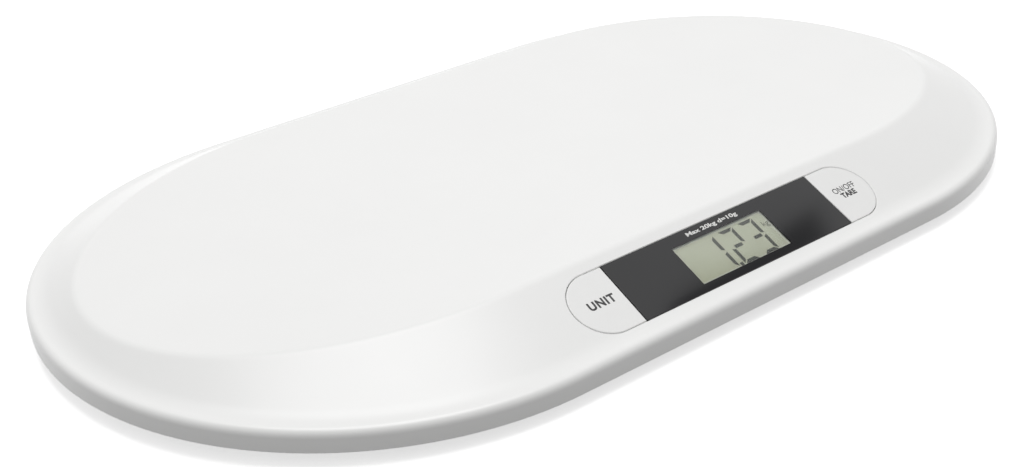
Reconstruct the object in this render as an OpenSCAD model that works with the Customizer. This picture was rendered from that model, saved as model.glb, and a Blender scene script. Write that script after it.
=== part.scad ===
// Digital baby weighing scale: a long oval tray with a display panel on its front slope.
// Millimetres. X runs along the length, the panel faces -Y, Z = 0 is the table under the feet.

/* [Body] */
// Length of the body
body_l = 550; // [500:5:620]
// Width of the body, which is also the diameter of its round ends
body_w = 330; // [310:5:370]
// Height of the body's lower edge above the table
edge_z = 6; // [5:0.5:10]
// Height of the rim's outer edge above the lower edge, at mid-length
edge_h = 10.1; // [9.5:0.1:13]
// Radius of the rim's outer edge
edge_r = 3.6; // [3.4:0.1:5]
// Rise of the lower edge towards both ends
lower_rise = 2.3; // [0:0.1:4]
// Rise of the rim's outer edge towards both ends
upper_rise = 2.9; // [0:0.1:4]
// Thickness of the tray's skin, measured upright
skin_t = 2.6; // [2.2:0.1:3.2]
// Thickness of the tray's outer wall
wall_t = 2.6; // [2:0.1:3.2]

/* [Crest and dish] */
// Width of the rim at each end, from the wall to the crest line
end_rim_w = 21.5; // [20:0.5:30]
// Width of the rim along each side, from the wall to the crest line
rim_w = 47; // [45.5:0.5:50]
// How far the crest line's straight part stops short of the body's, at each end
crest_inset = 3; // [0:0.5:6]
// Height of the crest above the lower edge, at mid-length
crest_h = 28.4; // [27:0.1:32]
// Fall of the crest from its level middle to its ends
crest_fall = 7.3; // [4:0.1:9]
// Length of the crest's level middle
crest_level_l = 140; // [100:5:200]
// Reach of the rounding on either side of the crest line
crest_round = 2; // [1:0.25:3]
// Depth of the dish's centre below the crest at mid-length
dish_depth = 8.5; // [6:0.1:9]
// Width of the level band inside the rim's outer edge
cove_w = 4.6; // [3.6:0.1:4.8]

/* [Panel] */
// Length of the round-ended panel on the front slope
panel_l = 185; // [175:1:195]
// Width of the panel, up the slope
panel_w = 32.8; // [31:0.1:34]
// Distance from the body's front edge to the panel
panel_inset = 11; // [11:0.1:12]
// Length of the black window in the panel's middle
window_l = 129.6; // [120:0.2:132]
// Thickness of the clear window
window_t = 1; // [0.8:0.1:1.8]
// Thickness of the black print under the window
mask_t = 0.15; // [0.1:0.05:0.2]
// Thickness of the adhesive foam under the window
gasket_t = 0.4; // [0.3:0.05:0.6]
// Width of the adhesive foam
gasket_w = 2; // [1:0.1:3]
// Gap between the panel's pieces and the hole in the tray
panel_gap = 0.25; // [0.2:0.05:0.3]
// Thickness of the carrier plate behind the panel
carrier_t = 1.9; // [1.5:0.1:2.5]
// Margin of the carrier plate round the panel
carrier_margin = 3.6; // [3.2:0.1:4]

/* [Display] */
// Length of the display's visible area
view_l = 56; // [50:0.5:58]
// Height of the display's visible area
view_w = 22.5; // [20:0.5:23]
// Distance from the panel's front edge to the visible area
view_v = 3.9; // [3.4:0.1:5]
// Length of the display's glass cell
cell_l = 62; // [61:0.5:70]
// Width of the display's glass cell
cell_w = 27; // [26.5:0.1:27.5]
// Thickness of the display's glass cell
cell_t = 2.6; // [2:0.1:3]
// Thickness of the film on the display's glass
film_t = 0.2; // [0.1:0.05:0.2]
// Height of a digit
digit_h = 20.1; // [16:0.1:20.3]
// Width of a digit
digit_w = 9.2; // [7:0.1:9.6]
// Distance from one digit to the next
digit_pitch = 12.6; // [11.5:0.1:14]
// Width of a digit's strokes
stroke_w = 1.8; // [1.2:0.1:2.4]
// Distance from the visible area's front edge to the digits
digit_v = 0.6; // [0.3:0.1:1.5]
// Distance from the visible area's right end to the last digit
digit_inset = 6.9; // [6:0.1:9]

/* [Buttons] */
// Width of the seam between the window and each button
seam_w = 0.35; // [0.25:0.05:0.6]
// Travel of each button
key_travel = 0.9; // [0.5:0.1:1.2]
// Reach of a button's retaining flange under the tray
flange_reach = 1; // [0.6:0.1:1.2]
// Thickness of a button's retaining flange
flange_t = 0.9; // [0.7:0.1:1.1]
// Radius of the post under each button
stem_r = 3; // [2:0.1:3.4]
// Radius of each rubber dome on the board
dome_r = 5.5; // [4.5:0.1:6.5]
// Height that a rubber dome keeps when it is pressed flat
dome_solid_h = 1.9; // [1.6:0.1:2.2]

/* [Circuit board] */
// How much shorter the circuit board is than the panel
board_short = 5; // [2:0.5:8]
// How much wider the circuit board is than the panel
board_wide = 2.2; // [1:0.1:4]
// Thickness of the circuit board
board_t = 1.6; // [1:0.1:2]
// Distance from the panel's front edge to the board's front edge
board_v = 5; // [4:0.1:7]
// Depth of the board's upper face under the panel's face
board_depth = 8; // [7.8:0.1:8.6]
// Width of each rubber contact strip between the display and the board
strip_w = 2.4; // [1.5:0.1:3]
// Radius of the black resin blob over the controller
blob_r = 7; // [5:0.5:9]
// Height of the black resin blob over the controller
blob_h = 1.3; // [1:0.1:2]
// Height of the wire headers under the board
header_h = 3; // [2:0.1:4]

/* [Base] */
// Thickness of the base plate
base_t = 2.5; // [2.2:0.1:3]
// Height of the base plate's underside above the body's lower edge
base_recess = 0.6; // [0:0.1:1]
// Height of the lip on the base plate
lip_h = 2; // [1:0.1:2.4]
// Thickness of the lip on the base plate
lip_t = 2; // [1.5:0.1:3]
// Gap between the base plate and the tray's wall
base_gap = 0.5; // [0.3:0.1:0.8]
// Height of the ribs on the base plate
base_rib_h = 5; // [3:0.5:6]
// Thickness of the ribs
rib_t = 1.6; // [1.2:0.1:2.4]
// Height of the lower edges of the tray's ribs above the body's lower edge
tray_rib_z = 11.5; // [10:0.5:14]

/* [Feet] */
// How far each foot lies past the straight part of the body
foot_reach = 70; // [62:1:76]
// Distance of each foot from the nearer side of the body
foot_from_side = 70; // [66:1:76]
// Radius of each foot
foot_r = 17; // [15:0.5:17.5]
// Gap round each foot in the base plate
foot_gap = 1; // [0.6:0.1:1.2]
// Reach of each foot's flange beyond the foot
foot_flange = 3.3; // [2:0.1:3.4]
// Thickness of each foot's flange
foot_flange_t = 1.2; // [1:0.1:1.5]
// Thickness of each rubber pad
pad_t = 2; // [1.5:0.1:3]
// Depth of each pad's seat in its foot
pad_seat = 1.2; // [0.8:0.1:1.3]
// Wall of the foot round its pad
pad_wall = 1.6; // [1.2:0.1:2.5]
// Radius of the post on each foot
post_r = 5; // [4:0.1:5.5]

/* [Load cells] */
// Side of each square load cell
load_l = 38; // [37:0.5:40]
// Thickness of each load cell
load_t = 2; // [1.5:0.1:2.5]
// Height of each load cell above the base plate
load_h = 3.5; // [3:0.1:4]
// Width of the tongue in each load cell
tongue_w = 13; // [12:0.5:14]
// Width of the slot round the tongue
slot_w = 3; // [2:0.5:3.5]
// Thickness of the clamp over each load cell
clamp_t = 2; // [1.5:0.1:3]
// Width of each corner block that carries a clamp
block_w = 7.5; // [7:0.1:8.5]

/* [Battery bay] */
// Place of the bay's middle across the width
bay_y = 41; // [34:1:46]
// Diameter of each cell
battery_d = 10.5; // [10:0.1:10.5]
// Length of each cell
battery_l = 44.5; // [43:0.1:45]
// Room for the contact spring at the end of each cell
spring_l = 4.7; // [4:0.1:6]
// Thickness of the contact plates
plate_t = 0.4; // [0.3:0.1:0.6]
// Thickness of the bay's walls and roof
bay_t = 1.6; // [1.2:0.1:2]
// Thickness of the battery door
door_t = 2; // [1.8:0.1:2.2]
// Gap round the battery door
door_gap = 0.3; // [0.2:0.05:0.5]
// Radius of the door's hinge pins
hinge_r = 0.55; // [0.4:0.05:0.6]
// Length of the door's hinge pins
hinge_l = 1.6; // [1:0.1:2.5]

/* [Fasteners] */
// Distance of the side case screws from the feet, towards the middle
screw_off_foot = 62; // [56:1:68]
// Distance of the end case screws from the feet, towards the ends
end_screw_off_foot = 46; // [42:1:52]
// Distance of the end case screws from the middle of the width
end_screw_y = 40; // [30:1:50]
// Radius of the case screws' shanks
screw_r = 1.45; // [1.2:0.05:1.6]
// Radius of the case screws' heads
screw_head_r = 2.9; // [2.4:0.1:3.2]
// Height of the case screws' heads
screw_head_h = 1.2; // [0.8:0.1:1.5]
// Length of the case screws in their bosses
screw_grip = 8; // [6:0.5:9]
// Radius of the tray's screw bosses
boss_r = 4; // [3.5:0.1:5]
// Radius of the small screws' shanks
small_r = 0.9; // [0.7:0.05:1]
// Radius of the small screws' heads
small_head_r = 1.8; // [1.5:0.1:2]
// Height of the small screws' heads
small_head_h = 1; // [0.8:0.1:1.5]
// Clearance round a screw's shank or head
screw_gap = 0.1; // [0.05:0.05:0.2]
// Radius of the tray's heat stakes
stake_r = 1.2; // [1:0.1:1.5]

/* [Leads] */
// Diameter of each load-cell lead
lead_d = 1.8; // [1.2:0.1:2.2]
// Diameter of each battery lead
feed_d = 1.2; // [0.8:0.1:1.5]

/* [Hidden] */
$fn = 64;

WHITE = "whitesmoke";
INNER = "gainsboro";
BLACK = "#1b1b1d";
STEEL = "silver";
RUBBER = "#5a5c5e";

// Overshoot of a cut past the face that it opens
CUT = 1;
// Corner names and the signs of their X and Y
FRONT_LEFT = [-1, -1];
FRONT_RIGHT = [1, -1];
REAR_LEFT = [-1, 1];
REAR_RIGHT = [1, 1];
CORNERS = [FRONT_LEFT, FRONT_RIGHT, REAR_LEFT, REAR_RIGHT];

// ---- The tray's surface ----
// Stations run round the oval: ARC_STEPS along each round end and SIDE_STEPS along each side.
ARC_STEPS = 30;
SIDE_STEPS = 6;
stations = concat(
  [for (i = [0:ARC_STEPS]) [1, -90 + 180 * i / ARC_STEPS]],
  [for (i = [1:SIDE_STEPS - 1]) [1 - 2 * i / SIDE_STEPS, 90]],
  [for (i = [0:ARC_STEPS]) [-1, 90 + 180 * i / ARC_STEPS]],
  [for (i = [1:SIDE_STEPS - 1]) [-1 + 2 * i / SIDE_STEPS, 270]]
);
station_count = len(stations);

body_straight = (body_l - body_w) / 2;
crest_l = body_l - 2 * end_rim_w;
crest_w = body_w - 2 * rim_w;
crest_straight = body_straight - crest_inset;
dish_floor_z = edge_z + crest_h - dish_depth;

// Point of an oval at a station: half-length a, half-width b, half-straight s
function oval(k, a, b, s) = [
  stations[k][0] * s + (a - s) * cos(stations[k][1]),
  b * sin(stations[k][1]),
];
function outer_point(k) = oval(k, body_l / 2, body_w / 2, body_straight);
function crest_point(k) = oval(k, crest_l / 2, crest_w / 2, crest_straight);

// Share of the way along a round end, from 0 where it starts to 1 at the tip
function end_share(x) = max(0, (abs(x) - body_straight) / (body_l / 2 - body_straight));
function low_z(x) = edge_z + lower_rise * pow(end_share(x), 2);
function edge_top_z(x) = edge_z + edge_h + upper_rise * pow(end_share(x), 2);
function crest_share(x) = max(0, (abs(x) - crest_level_l / 2) / (crest_l / 2 - crest_level_l / 2));
function crest_z(x) = edge_z + crest_h - crest_fall * pow(crest_share(x), 2);

// Rim: level band, cove and straight slope, at distance d inwards from the outer edge
function rim_run(k) = norm(crest_point(k) - outer_point(k));
function rim_rise(k) = crest_z(crest_point(k).x) - edge_top_z(outer_point(k).x);
function rim_slope(k) = rim_rise(k) / (rim_run(k) - edge_r - cove_w);
function rim_climb(k, d) = d < edge_r + 2 * cove_w
  ? rim_slope(k) * pow(d - edge_r, 2) / (4 * cove_w)
  : rim_slope(k) * (d - edge_r - cove_w);
function inward(k, d) = outer_point(k) + (crest_point(k) - outer_point(k)) * d / rim_run(k);
function rim_point(k, d, drop) = concat(
  inward(k, d), edge_top_z(outer_point(k).x) + rim_climb(k, d) - drop
);

// Dish: a bowl that rises with the square of the share q of the way to the crest
function dish_point(k, q, drop) = concat(
  crest_point(k) * q,
  dish_floor_z + (crest_z(crest_point(k).x) - dish_floor_z) * q * q - drop
);
function crest_share_in(k) = 1 - crest_round / norm(crest_point(k));
function crest_mid(k, drop) = (
  rim_point(k, rim_run(k) - crest_round, drop)
  + 2 * rim_point(k, rim_run(k), drop)
  + dish_point(k, crest_share_in(k), drop)
) / 4;

function wall_point(k, d, z) = concat(inward(k, d), z);
// Rounded outer edge: radius r, wall inset w, angle a, lowered by drop
function edge_point(k, r, w, a, drop) = wall_point(
  k, w + r * (1 - cos(a)), edge_top_z(outer_point(k).x) - drop - r * (1 - sin(a))
);
function ring(f) = [for (k = [0:station_count - 1]) f(k)];

DISH_SHARES = [0.14, 0.32, 0.5, 0.66, 0.8, 0.92];
COVE_SHARES = [0.25, 0.5, 0.75, 1];
SLOPE_SHARES = [0.5];
OUTER_ANGLES = [0, 22.5, 45, 67.5, 90];
INNER_ANGLES = [0, 45, 90];

function turned(list) = [for (i = [len(list) - 1:-1:0]) list[i]];
// Rings of the dish, crest, slope and cove, from the middle outwards
function cover_rings(drop) = concat(
  [for (q = DISH_SHARES) ring(function(k) dish_point(k, q, drop))],
  [ring(function(k) dish_point(k, crest_share_in(k), drop))],
  [ring(function(k) crest_mid(k, drop))],
  [ring(function(k) rim_point(k, rim_run(k) - crest_round, drop))],
  [for (q = SLOPE_SHARES) ring(function(k) rim_point(
    k, edge_r + 2 * cove_w + (rim_run(k) - crest_round - edge_r - 2 * cove_w) * q, drop
  ))],
  [for (q = turned(COVE_SHARES)) ring(function(k) rim_point(k, edge_r + 2 * cove_w * q, drop))]
);
tray_rings = concat(
  cover_rings(skin_t),
  [for (a = turned(INNER_ANGLES)) ring(function(k) edge_point(k, edge_r - wall_t, wall_t, a, skin_t))],
  [ring(function(k) wall_point(k, wall_t, low_z(outer_point(k).x)))],
  [ring(function(k) wall_point(k, 0, low_z(outer_point(k).x)))],
  [for (a = OUTER_ANGLES) ring(function(k) edge_point(k, edge_r, 0, a, 0))],
  turned(cover_rings(0))
);

// Skin between two poles: every ring joins the next, and a fan closes each end
module pole_loft(rings, first_pole, last_pole) {
  n = len(rings[0]);
  m = len(rings);
  points = concat([for (r = rings) each r], [first_pole, last_pole]);
  sides = [
    for (i = [0:m - 2], k = [0:n - 1])
      let (a = i * n + k, b = i * n + (k + 1) % n)
        each [[a, a + n, b + n], [a, b + n, b]]
  ];
  first_fan = [for (k = [0:n - 1]) [m * n, k, (k + 1) % n]];
  last_fan = [for (k = [0:n - 1]) [m * n + 1, (m - 1) * n + (k + 1) % n, (m - 1) * n + k]];
  polyhedron(points = points, faces = concat(sides, first_fan, last_fan), convexity = 6);
}

module tray_skin() {
  pole_loft(tray_rings, [0, 0, dish_floor_z - skin_t], [0, 0, dish_floor_z]);
}

// Scale that carries a point of the plan out to the crest line
function crest_reach(x, y) = let (
  a = crest_l / 2 - crest_straight,
  b = crest_w / 2,
  m = x * x / (a * a) + y * y / (b * b),
  h = abs(x) * crest_straight / (a * a)
) abs(x) * b <= crest_straight * abs(y)
  ? b / abs(y)
  : (h + sqrt(h * h - m * (crest_straight * crest_straight / (a * a) - 1))) / m;
function dish_z(x, y) = x == 0 && y == 0
  ? dish_floor_z
  : dish_floor_z + (crest_z(x * crest_reach(x, y)) - dish_floor_z) / pow(crest_reach(x, y), 2);
// Height inside the skin, half-way through it
function in_skin_z(x, y) = dish_z(x, y) - skin_t / 2;

// ---- Panel frame: its origin is the middle of the panel's front edge ----
slope = (crest_h - edge_h) / (rim_w - edge_r - cove_w);
panel_tilt = atan(slope);
panel_y = panel_inset - body_w / 2;
panel_z = edge_z + edge_h + slope * (panel_inset - edge_r - cove_w);
// Thickness of the tray's skin square to the panel
skin_n = skin_t * cos(panel_tilt);

module on_panel() {
  translate([0, panel_y, panel_z]) rotate([panel_tilt, 0, 0]) children();
}
function panel_point(x, v, w) = [
  x,
  panel_y + v * cos(panel_tilt) - w * sin(panel_tilt),
  panel_z + v * sin(panel_tilt) + w * cos(panel_tilt),
];

end_r = panel_w / 2;
end_x = panel_l / 2 - end_r;
key_x0 = window_l / 2 + seam_w;
key_mid = (key_x0 + panel_l / 2) / 2;

// Panel outline grown by g, between heights z0 and z1 of the panel frame
module pill(g, z0, z1) {
  translate([0, end_r, z0]) linear_extrude(z1 - z0) {
    square([2 * end_x, panel_w + 2 * g], center = true);
    for (side = [-1, 1]) translate([side * end_x, 0]) circle(end_r + g);
  }
}
// Box in the panel frame, centred on x = 0
module panel_box(l, v0, v1, z0, z1) {
  translate([-l / 2, v0, z0]) cube([l, v1 - v0, z1 - z0]);
}

mask_z = -window_t - mask_t;
gasket_z = mask_z - gasket_t;
carrier_top = -skin_n;
carrier_z = carrier_top - carrier_t;
film_z = gasket_z - film_t;
cell_z = film_z - cell_t;
board_z = -board_depth;
board_l = panel_l - board_short;
board_w = panel_w + board_wide;
view_mid = view_v + view_w / 2;
cell_v = view_mid + 0.6 - cell_w / 2;
carrier_l = panel_l + 2 * carrier_margin;
flange_top = -skin_n - 0.15;
flange_z = flange_top - flange_t;
dome_h = dome_solid_h + key_travel;
dome_top = board_z + dome_h;
stake_x = panel_l / 2 + carrier_margin - stake_r - 1.7;
stake_v = [stake_r + 0.2, panel_w - stake_r - 0.2];
board_screw_x = 50;
board_screw_v = [board_v + 4, board_v + 22];

foot_x = body_straight + foot_reach;
foot_y = body_w / 2 - foot_from_side;

// ---- Base and bay heights ----
base_z = edge_z + base_recess;
base_top = base_z + base_t;
base_inset = wall_t + base_gap;
load_z = base_top + load_h;
load_top = load_z + load_t;
bay_l = battery_l + 2 * plate_t + spring_l;
battery_pitch = battery_d + 0.6;
bay_w = 2 * battery_pitch + 0.4;
door_top = base_z + door_t;
battery_z = door_top + 0.2 + battery_d / 2;
bay_roof_z = battery_z + battery_d / 2 + 0.4;
hinge_y = bay_y + bay_w / 2 - door_gap - door_t / 2;
hinge_z = base_z + door_t / 2;

// Case screws: four by the feet, four towards the ends and two in the middle
screw_x = foot_x - screw_off_foot;
screw_y = foot_y + screw_r * 2 + screw_gap;
end_screw_x = foot_x + end_screw_off_foot;
middle_screw_x = screw_x - boss_r * 5 - 3;
CASE_SCREWS = [
  each [for (c = CORNERS) [c.x * screw_x, c.y * screw_y]],
  each [for (c = CORNERS) [c.x * end_screw_x, c.y * end_screw_y]],
  each [for (side = [-1, 1]) [side * middle_screw_x, 0]],
];

// ---- Tray ----
// Rib across the tray at x, and along it at y = 0, with tops inside the skin
rib_x = foot_x - 120;
rib_reach = foot_y - 15;
module tray_rib_across(x, half_w) {
  steps = 12;
  translate([x - rib_t / 2, 0, 0]) rotate([90, 0, 90]) linear_extrude(rib_t) polygon(concat(
    [[-half_w, edge_z + tray_rib_z], [half_w, edge_z + tray_rib_z]],
    [for (i = [0:steps]) let (y = half_w - 2 * half_w * i / steps) [y, in_skin_z(x, y)]]
  ));
}
module tray_rib_along(half_l) {
  translate([0, rib_t / 2, 0]) rotate([90, 0, 0]) linear_extrude(rib_t) polygon([
    [-half_l, edge_z + tray_rib_z],
    [half_l, edge_z + tray_rib_z],
    [half_l, in_skin_z(half_l, 0)],
    [0, in_skin_z(0, 0)],
    [-half_l, in_skin_z(half_l, 0)],
  ]);
}
module tray_bosses() {
  for (p = CASE_SCREWS)
    translate([p.x, p.y, base_top]) cylinder(h = in_skin_z(p.x, p.y) - base_top, r = boss_r);
}
module tray_boss_bores() {
  for (p = CASE_SCREWS)
    translate([p.x, p.y, base_top - CUT]) cylinder(h = screw_grip + 1 + CUT, r = screw_r + screw_gap / 2);
}
// Heat stakes that hold the carrier, with their melted heads
module tray_stakes() {
  on_panel() for (side = [-1, 1], v = stake_v) translate([side * stake_x, v, 0]) {
    translate([0, 0, carrier_z]) cylinder(h = -skin_n / 2 - carrier_z, r = stake_r);
    translate([0, 0, carrier_z - 0.8]) cylinder(h = 0.8, r = stake_r + 0.8);
  }
}
// Flat seat under the skin for the carrier
module carrier_seat_cut() {
  on_panel() panel_box(
    carrier_l + 2 * panel_gap, -carrier_margin - panel_gap, panel_w + carrier_margin + panel_gap,
    carrier_z, -skin_n
  );
}
module top_tray() {
  color(WHITE) difference() {
    union() {
      difference() {
        tray_skin();
        carrier_seat_cut();
      }
      tray_bosses();
      tray_stakes();
      for (side = [-1, 1], x = [rib_x, rib_x + 70]) tray_rib_across(side * x, rib_reach);
      tray_rib_along(foot_x + 20);
    }
    on_panel() pill(panel_gap, -skin_n - CUT, CUT);
    tray_boss_bores();
  }
}

// ---- Base ----
module stadium(inset) {
  square([2 * body_straight, body_w - 2 * inset], center = true);
  for (side = [-1, 1]) translate([side * body_straight, 0]) circle(body_w / 2 - inset, $fn = 180);
}
module at_feet() {
  for (c = CORNERS) translate([c.x * foot_x, c.y * foot_y, 0]) children();
}
block_far = load_l / 2 + screw_gap * 2 + small_head_r * 2;
block_mid = block_far - block_w / 2;
clamp_screw_off = load_l / 2 + screw_gap * 2 + small_head_r;
module load_cell_seat() {
  difference() {
    for (c = CORNERS)
      translate([c.x * block_mid - block_w / 2, c.y * block_mid - block_w / 2, base_top - 0.5])
        cube([block_w, block_w, load_top - base_top + 0.5]);
    translate([-load_l / 2 - screw_gap, -load_l / 2 - screw_gap, load_z])
      cube([load_l + 2 * screw_gap, load_l + 2 * screw_gap, load_t + CUT]);
    for (s = [-1, 1]) translate([s * clamp_screw_off, s * clamp_screw_off, base_top + 0.4])
      cylinder(h = load_top - base_top + CUT, r = small_r + screw_gap / 2);
  }
}
module bay_outer() {
  translate([-bay_l / 2 - bay_t, bay_y - bay_w / 2 - bay_t, base_top - 0.5])
    cube([bay_l + 2 * bay_t, bay_w + 2 * bay_t, bay_roof_z + bay_t - base_top + 0.5]);
}
module bay_inner() {
  translate([-bay_l / 2, bay_y - bay_w / 2, base_z - CUT])
    cube([bay_l, bay_w, bay_roof_z - base_z + CUT]);
}
TAB_W = 2;
TAB_GAP = 0.1;
tab_z = battery_z - TAB_W / 2;
module bay_tab_slots() {
  for (s = [-1, 1])
    translate([
      -bay_l / 2 - bay_t - CUT, bay_y + s * battery_pitch / 2 - TAB_W / 2 - TAB_GAP, tab_z - TAB_GAP
    ])
      cube([bay_t + 2 * CUT, TAB_W + 2 * TAB_GAP, plate_t + 2 * TAB_GAP]);
}
long_rib_x = foot_x - 45;
module base_shell() {
  color(INNER) difference() {
    union() {
      translate([0, 0, base_z]) linear_extrude(base_t) stadium(base_inset);
      translate([0, 0, base_top - 0.5]) linear_extrude(lip_h + 0.5) difference() {
        stadium(base_inset);
        stadium(base_inset + lip_t);
      }
      at_feet() load_cell_seat();
      bay_outer();
      for (side = [-1, 1]) translate([side * (rib_x + 15) - rib_t / 2, -rib_reach, base_top - 0.5])
        cube([rib_t, 2 * rib_reach, base_rib_h + 0.5]);
      translate([-long_rib_x, foot_y - 23, base_top - 0.5]) cube([2 * long_rib_x, rib_t, base_rib_h + 0.5]);
    }
    at_feet() translate([0, 0, base_z - CUT]) cylinder(h = base_t + 2 * CUT, r = foot_r + foot_gap);
    bay_inner();
    bay_tab_slots();
    translate([0, hinge_y, hinge_z]) rotate([0, 90, 0])
      cylinder(h = bay_l + 2 * hinge_l + 2 * screw_gap, r = hinge_r + screw_gap, center = true);
    for (p = CASE_SCREWS) translate([p.x, p.y, base_z]) {
      translate([0, 0, -CUT]) cylinder(h = base_t + 2 * CUT, r = screw_r + 2 * screw_gap);
      translate([0, 0, -CUT]) cylinder(h = screw_head_h + 0.1 + CUT, r = screw_head_r + screw_gap);
    }
  }
}

// ---- Panel pieces ----
// One button's outline grown by g, on the given side
module key_outline(side, g, z0, z1) {
  intersection() {
    pill(g, z0, z1);
    translate([side > 0 ? key_x0 : -key_x0 - panel_l, -panel_w, z0 - CUT])
      cube([panel_l, 3 * panel_w, z1 - z0 + 2 * CUT]);
  }
}
// Room between a button's flat side and the carrier
KEY_SIDE_GAP = 0.2;
module panel_carrier() {
  color(INNER) on_panel() difference() {
    union() {
      panel_box(carrier_l, -carrier_margin, panel_w + carrier_margin, carrier_z, carrier_top);
      panel_box(window_l, 0, panel_w, carrier_z, gasket_z);
      for (side = [-1, 1], v = board_screw_v) translate([side * board_screw_x, v, board_z])
        cylinder(h = carrier_z - board_z + 0.5, r = 2.6);
    }
    for (side = [-1, 1]) translate([-side * KEY_SIDE_GAP, 0, 0])
      key_outline(side, flange_reach + 2 * KEY_SIDE_GAP, carrier_z - CUT, carrier_top + CUT);
    panel_box(cell_l + 0.4, cell_v - 0.2, cell_v + cell_w + 0.2, carrier_z - CUT, CUT);
    for (side = [-1, 1], v = stake_v) translate([side * stake_x, v, carrier_z - CUT])
      cylinder(h = carrier_t + 2 * CUT, r = stake_r + screw_gap);
    for (side = [-1, 1], v = board_screw_v) translate([side * board_screw_x, v, board_z - CUT])
      cylinder(h = carrier_z - board_z + CUT, r = small_r + screw_gap / 2);
  }
}
module display_window() {
  color("#2a2d30", 0.6) on_panel() panel_box(window_l, 0, panel_w, -window_t, 0);
}
module window_mask() {
  color(BLACK) on_panel() difference() {
    panel_box(window_l, 0, panel_w, mask_z, -window_t);
    panel_box(view_l, view_v, view_v + view_w, mask_z - CUT, CUT);
  }
}
module window_gasket() {
  color("dimgray") on_panel() difference() {
    panel_box(window_l, 0, panel_w, gasket_z, mask_z);
    panel_box(window_l - 2 * gasket_w, gasket_w, panel_w - gasket_w, gasket_z - CUT, CUT);
  }
}
module lcd_cell() {
  color("#a9b0a4") on_panel() panel_box(cell_l, cell_v, cell_v + cell_w, cell_z, film_z);
}
module lcd_film() {
  color("#b3b9ad") on_panel() panel_box(cell_l - 3, cell_v + 0.8, cell_v + cell_w - 1.5, film_z, gasket_z);
}

// One stroke of a digit along x: its upper edge has the full length, its ends slant inwards below
module stroke(len, start_cut, end_cut) {
  polygon([
    [-len / 2, stroke_w / 2], [len / 2, stroke_w / 2], [len / 2 - end_cut, -stroke_w / 2],
    [start_cut - len / 2, -stroke_w / 2],
  ]);
}
STROKE_GAP = 0.5;
bar_l = digit_w - 2 * STROKE_GAP;
post_l = digit_h / 2 - 2 * STROKE_GAP;
half_step = (digit_h - stroke_w) / 2;
half_bar = (digit_w - stroke_w) / 2;
// Middle, turn, length and end cuts of each stroke: top, upper right, lower right, bottom,
// lower left, upper left, middle
STROKES = [
  [0, half_step, 0, bar_l, stroke_w, stroke_w],
  [half_bar, digit_h / 4, -90, post_l, stroke_w, stroke_w / 2],
  [half_bar, -digit_h / 4, -90, post_l, stroke_w / 2, stroke_w],
  [0, -half_step, 180, bar_l, stroke_w, stroke_w],
  [-half_bar, -digit_h / 4, 90, post_l, stroke_w, stroke_w / 2],
  [-half_bar, digit_h / 4, 90, post_l, stroke_w / 2, stroke_w],
  [0, 0, 0, bar_l - 2 * stroke_w, 0, 0],
];
DIGIT_ONE = [1, 2];
DIGIT_TWO = [0, 1, 6, 4, 3];
DIGIT_THREE = [0, 1, 6, 2, 3];
module digit(lit) {
  for (i = lit) translate([STROKES[i].x, STROKES[i].y]) rotate(STROKES[i].z)
    stroke(STROKES[i][3], STROKES[i][4], STROKES[i][5]);
}
last_digit_x = view_l / 2 - digit_inset - digit_w / 2;
DIGIT_T = 0.08;
module lcd_digits() {
  color("#26282b") on_panel() translate([0, view_v + digit_v + digit_h / 2, gasket_z])
  linear_extrude(DIGIT_T) {
    translate([last_digit_x - 2 * digit_pitch, 0]) digit(DIGIT_ONE);
    translate([last_digit_x - digit_pitch, 0]) digit(DIGIT_TWO);
    translate([last_digit_x, 0]) digit(DIGIT_THREE);
    translate([last_digit_x - 1.5 * digit_pitch, -half_step]) square(stroke_w, center = true);
  }
}
module contact_strips() {
  color("#4b4d50") on_panel() for (v = [cell_v + 0.6, cell_v + cell_w - 0.6 - strip_w])
    panel_box(cell_l - 4, v, v + strip_w, board_z, cell_z);
}
module main_board() {
  color("#2f6b3c") on_panel() difference() {
    panel_box(board_l, board_v, board_v + board_w, board_z - board_t, board_z);
    for (side = [-1, 1], v = board_screw_v) translate([side * board_screw_x, v, board_z - board_t - CUT])
      cylinder(h = board_t + 2 * CUT, r = small_r + 2 * screw_gap);
  }
}
under_board = board_z - board_t;
// Resin blob: a low spherical cap, drawn as half of its section and turned
blob_sphere_r = (blob_r * blob_r + blob_h * blob_h) / (2 * blob_h);
blob_angle = asin(blob_r / blob_sphere_r);
BLOB_STEPS = 8;
module controller_blob() {
  color(BLACK) on_panel() translate([0, board_v + board_w / 2, under_board]) rotate([180, 0, 0])
    rotate_extrude() polygon(concat([[0, 0]], [
      for (i = [0:BLOB_STEPS]) let (a = blob_angle * (1 - i / BLOB_STEPS))
        [blob_sphere_r * sin(a), blob_sphere_r * cos(a) - blob_sphere_r + blob_h]
    ]));
}
// Small parts under the board: length, width, height, x and v
BOARD_PARTS = [
  [6, 5, 1.4, -24, 24], [6, 5, 1.4, 24, 24], [3.2, 1.6, 1, -16, 33], [3.2, 1.6, 1, -10, 33],
  [3.2, 1.6, 1, 12, 33], [3.2, 1.6, 1, 18, 33], [2, 1.2, 0.8, -34, 18], [2, 1.2, 0.8, 34, 18],
  [8, 3, 2.2, 64, 20], [8, 3, 2.2, -64, 20],
];
module board_parts() {
  color("#3a3a3d") on_panel() for (b = BOARD_PARTS)
    translate([b[3] - b[0] / 2, b[4] - b[1] / 2, under_board - b[2]]) cube([b[0], b[1], b[2]]);
}

// Headers: x of each, and the row's place up the slope
FEED_X = -34;
LEAD_X = [-72, 72, -56, 56];
header_v = board_v + board_w - 5;
header_w = 4;
module header(x, l) {
  translate([x - l / 2, header_v - header_w / 2, under_board - header_h]) cube([l, header_w, header_h]);
}
module wire_headers() {
  color("ivory") on_panel() {
    for (x = LEAD_X) header(x, 9);
    header(FEED_X, 8);
  }
}

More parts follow.
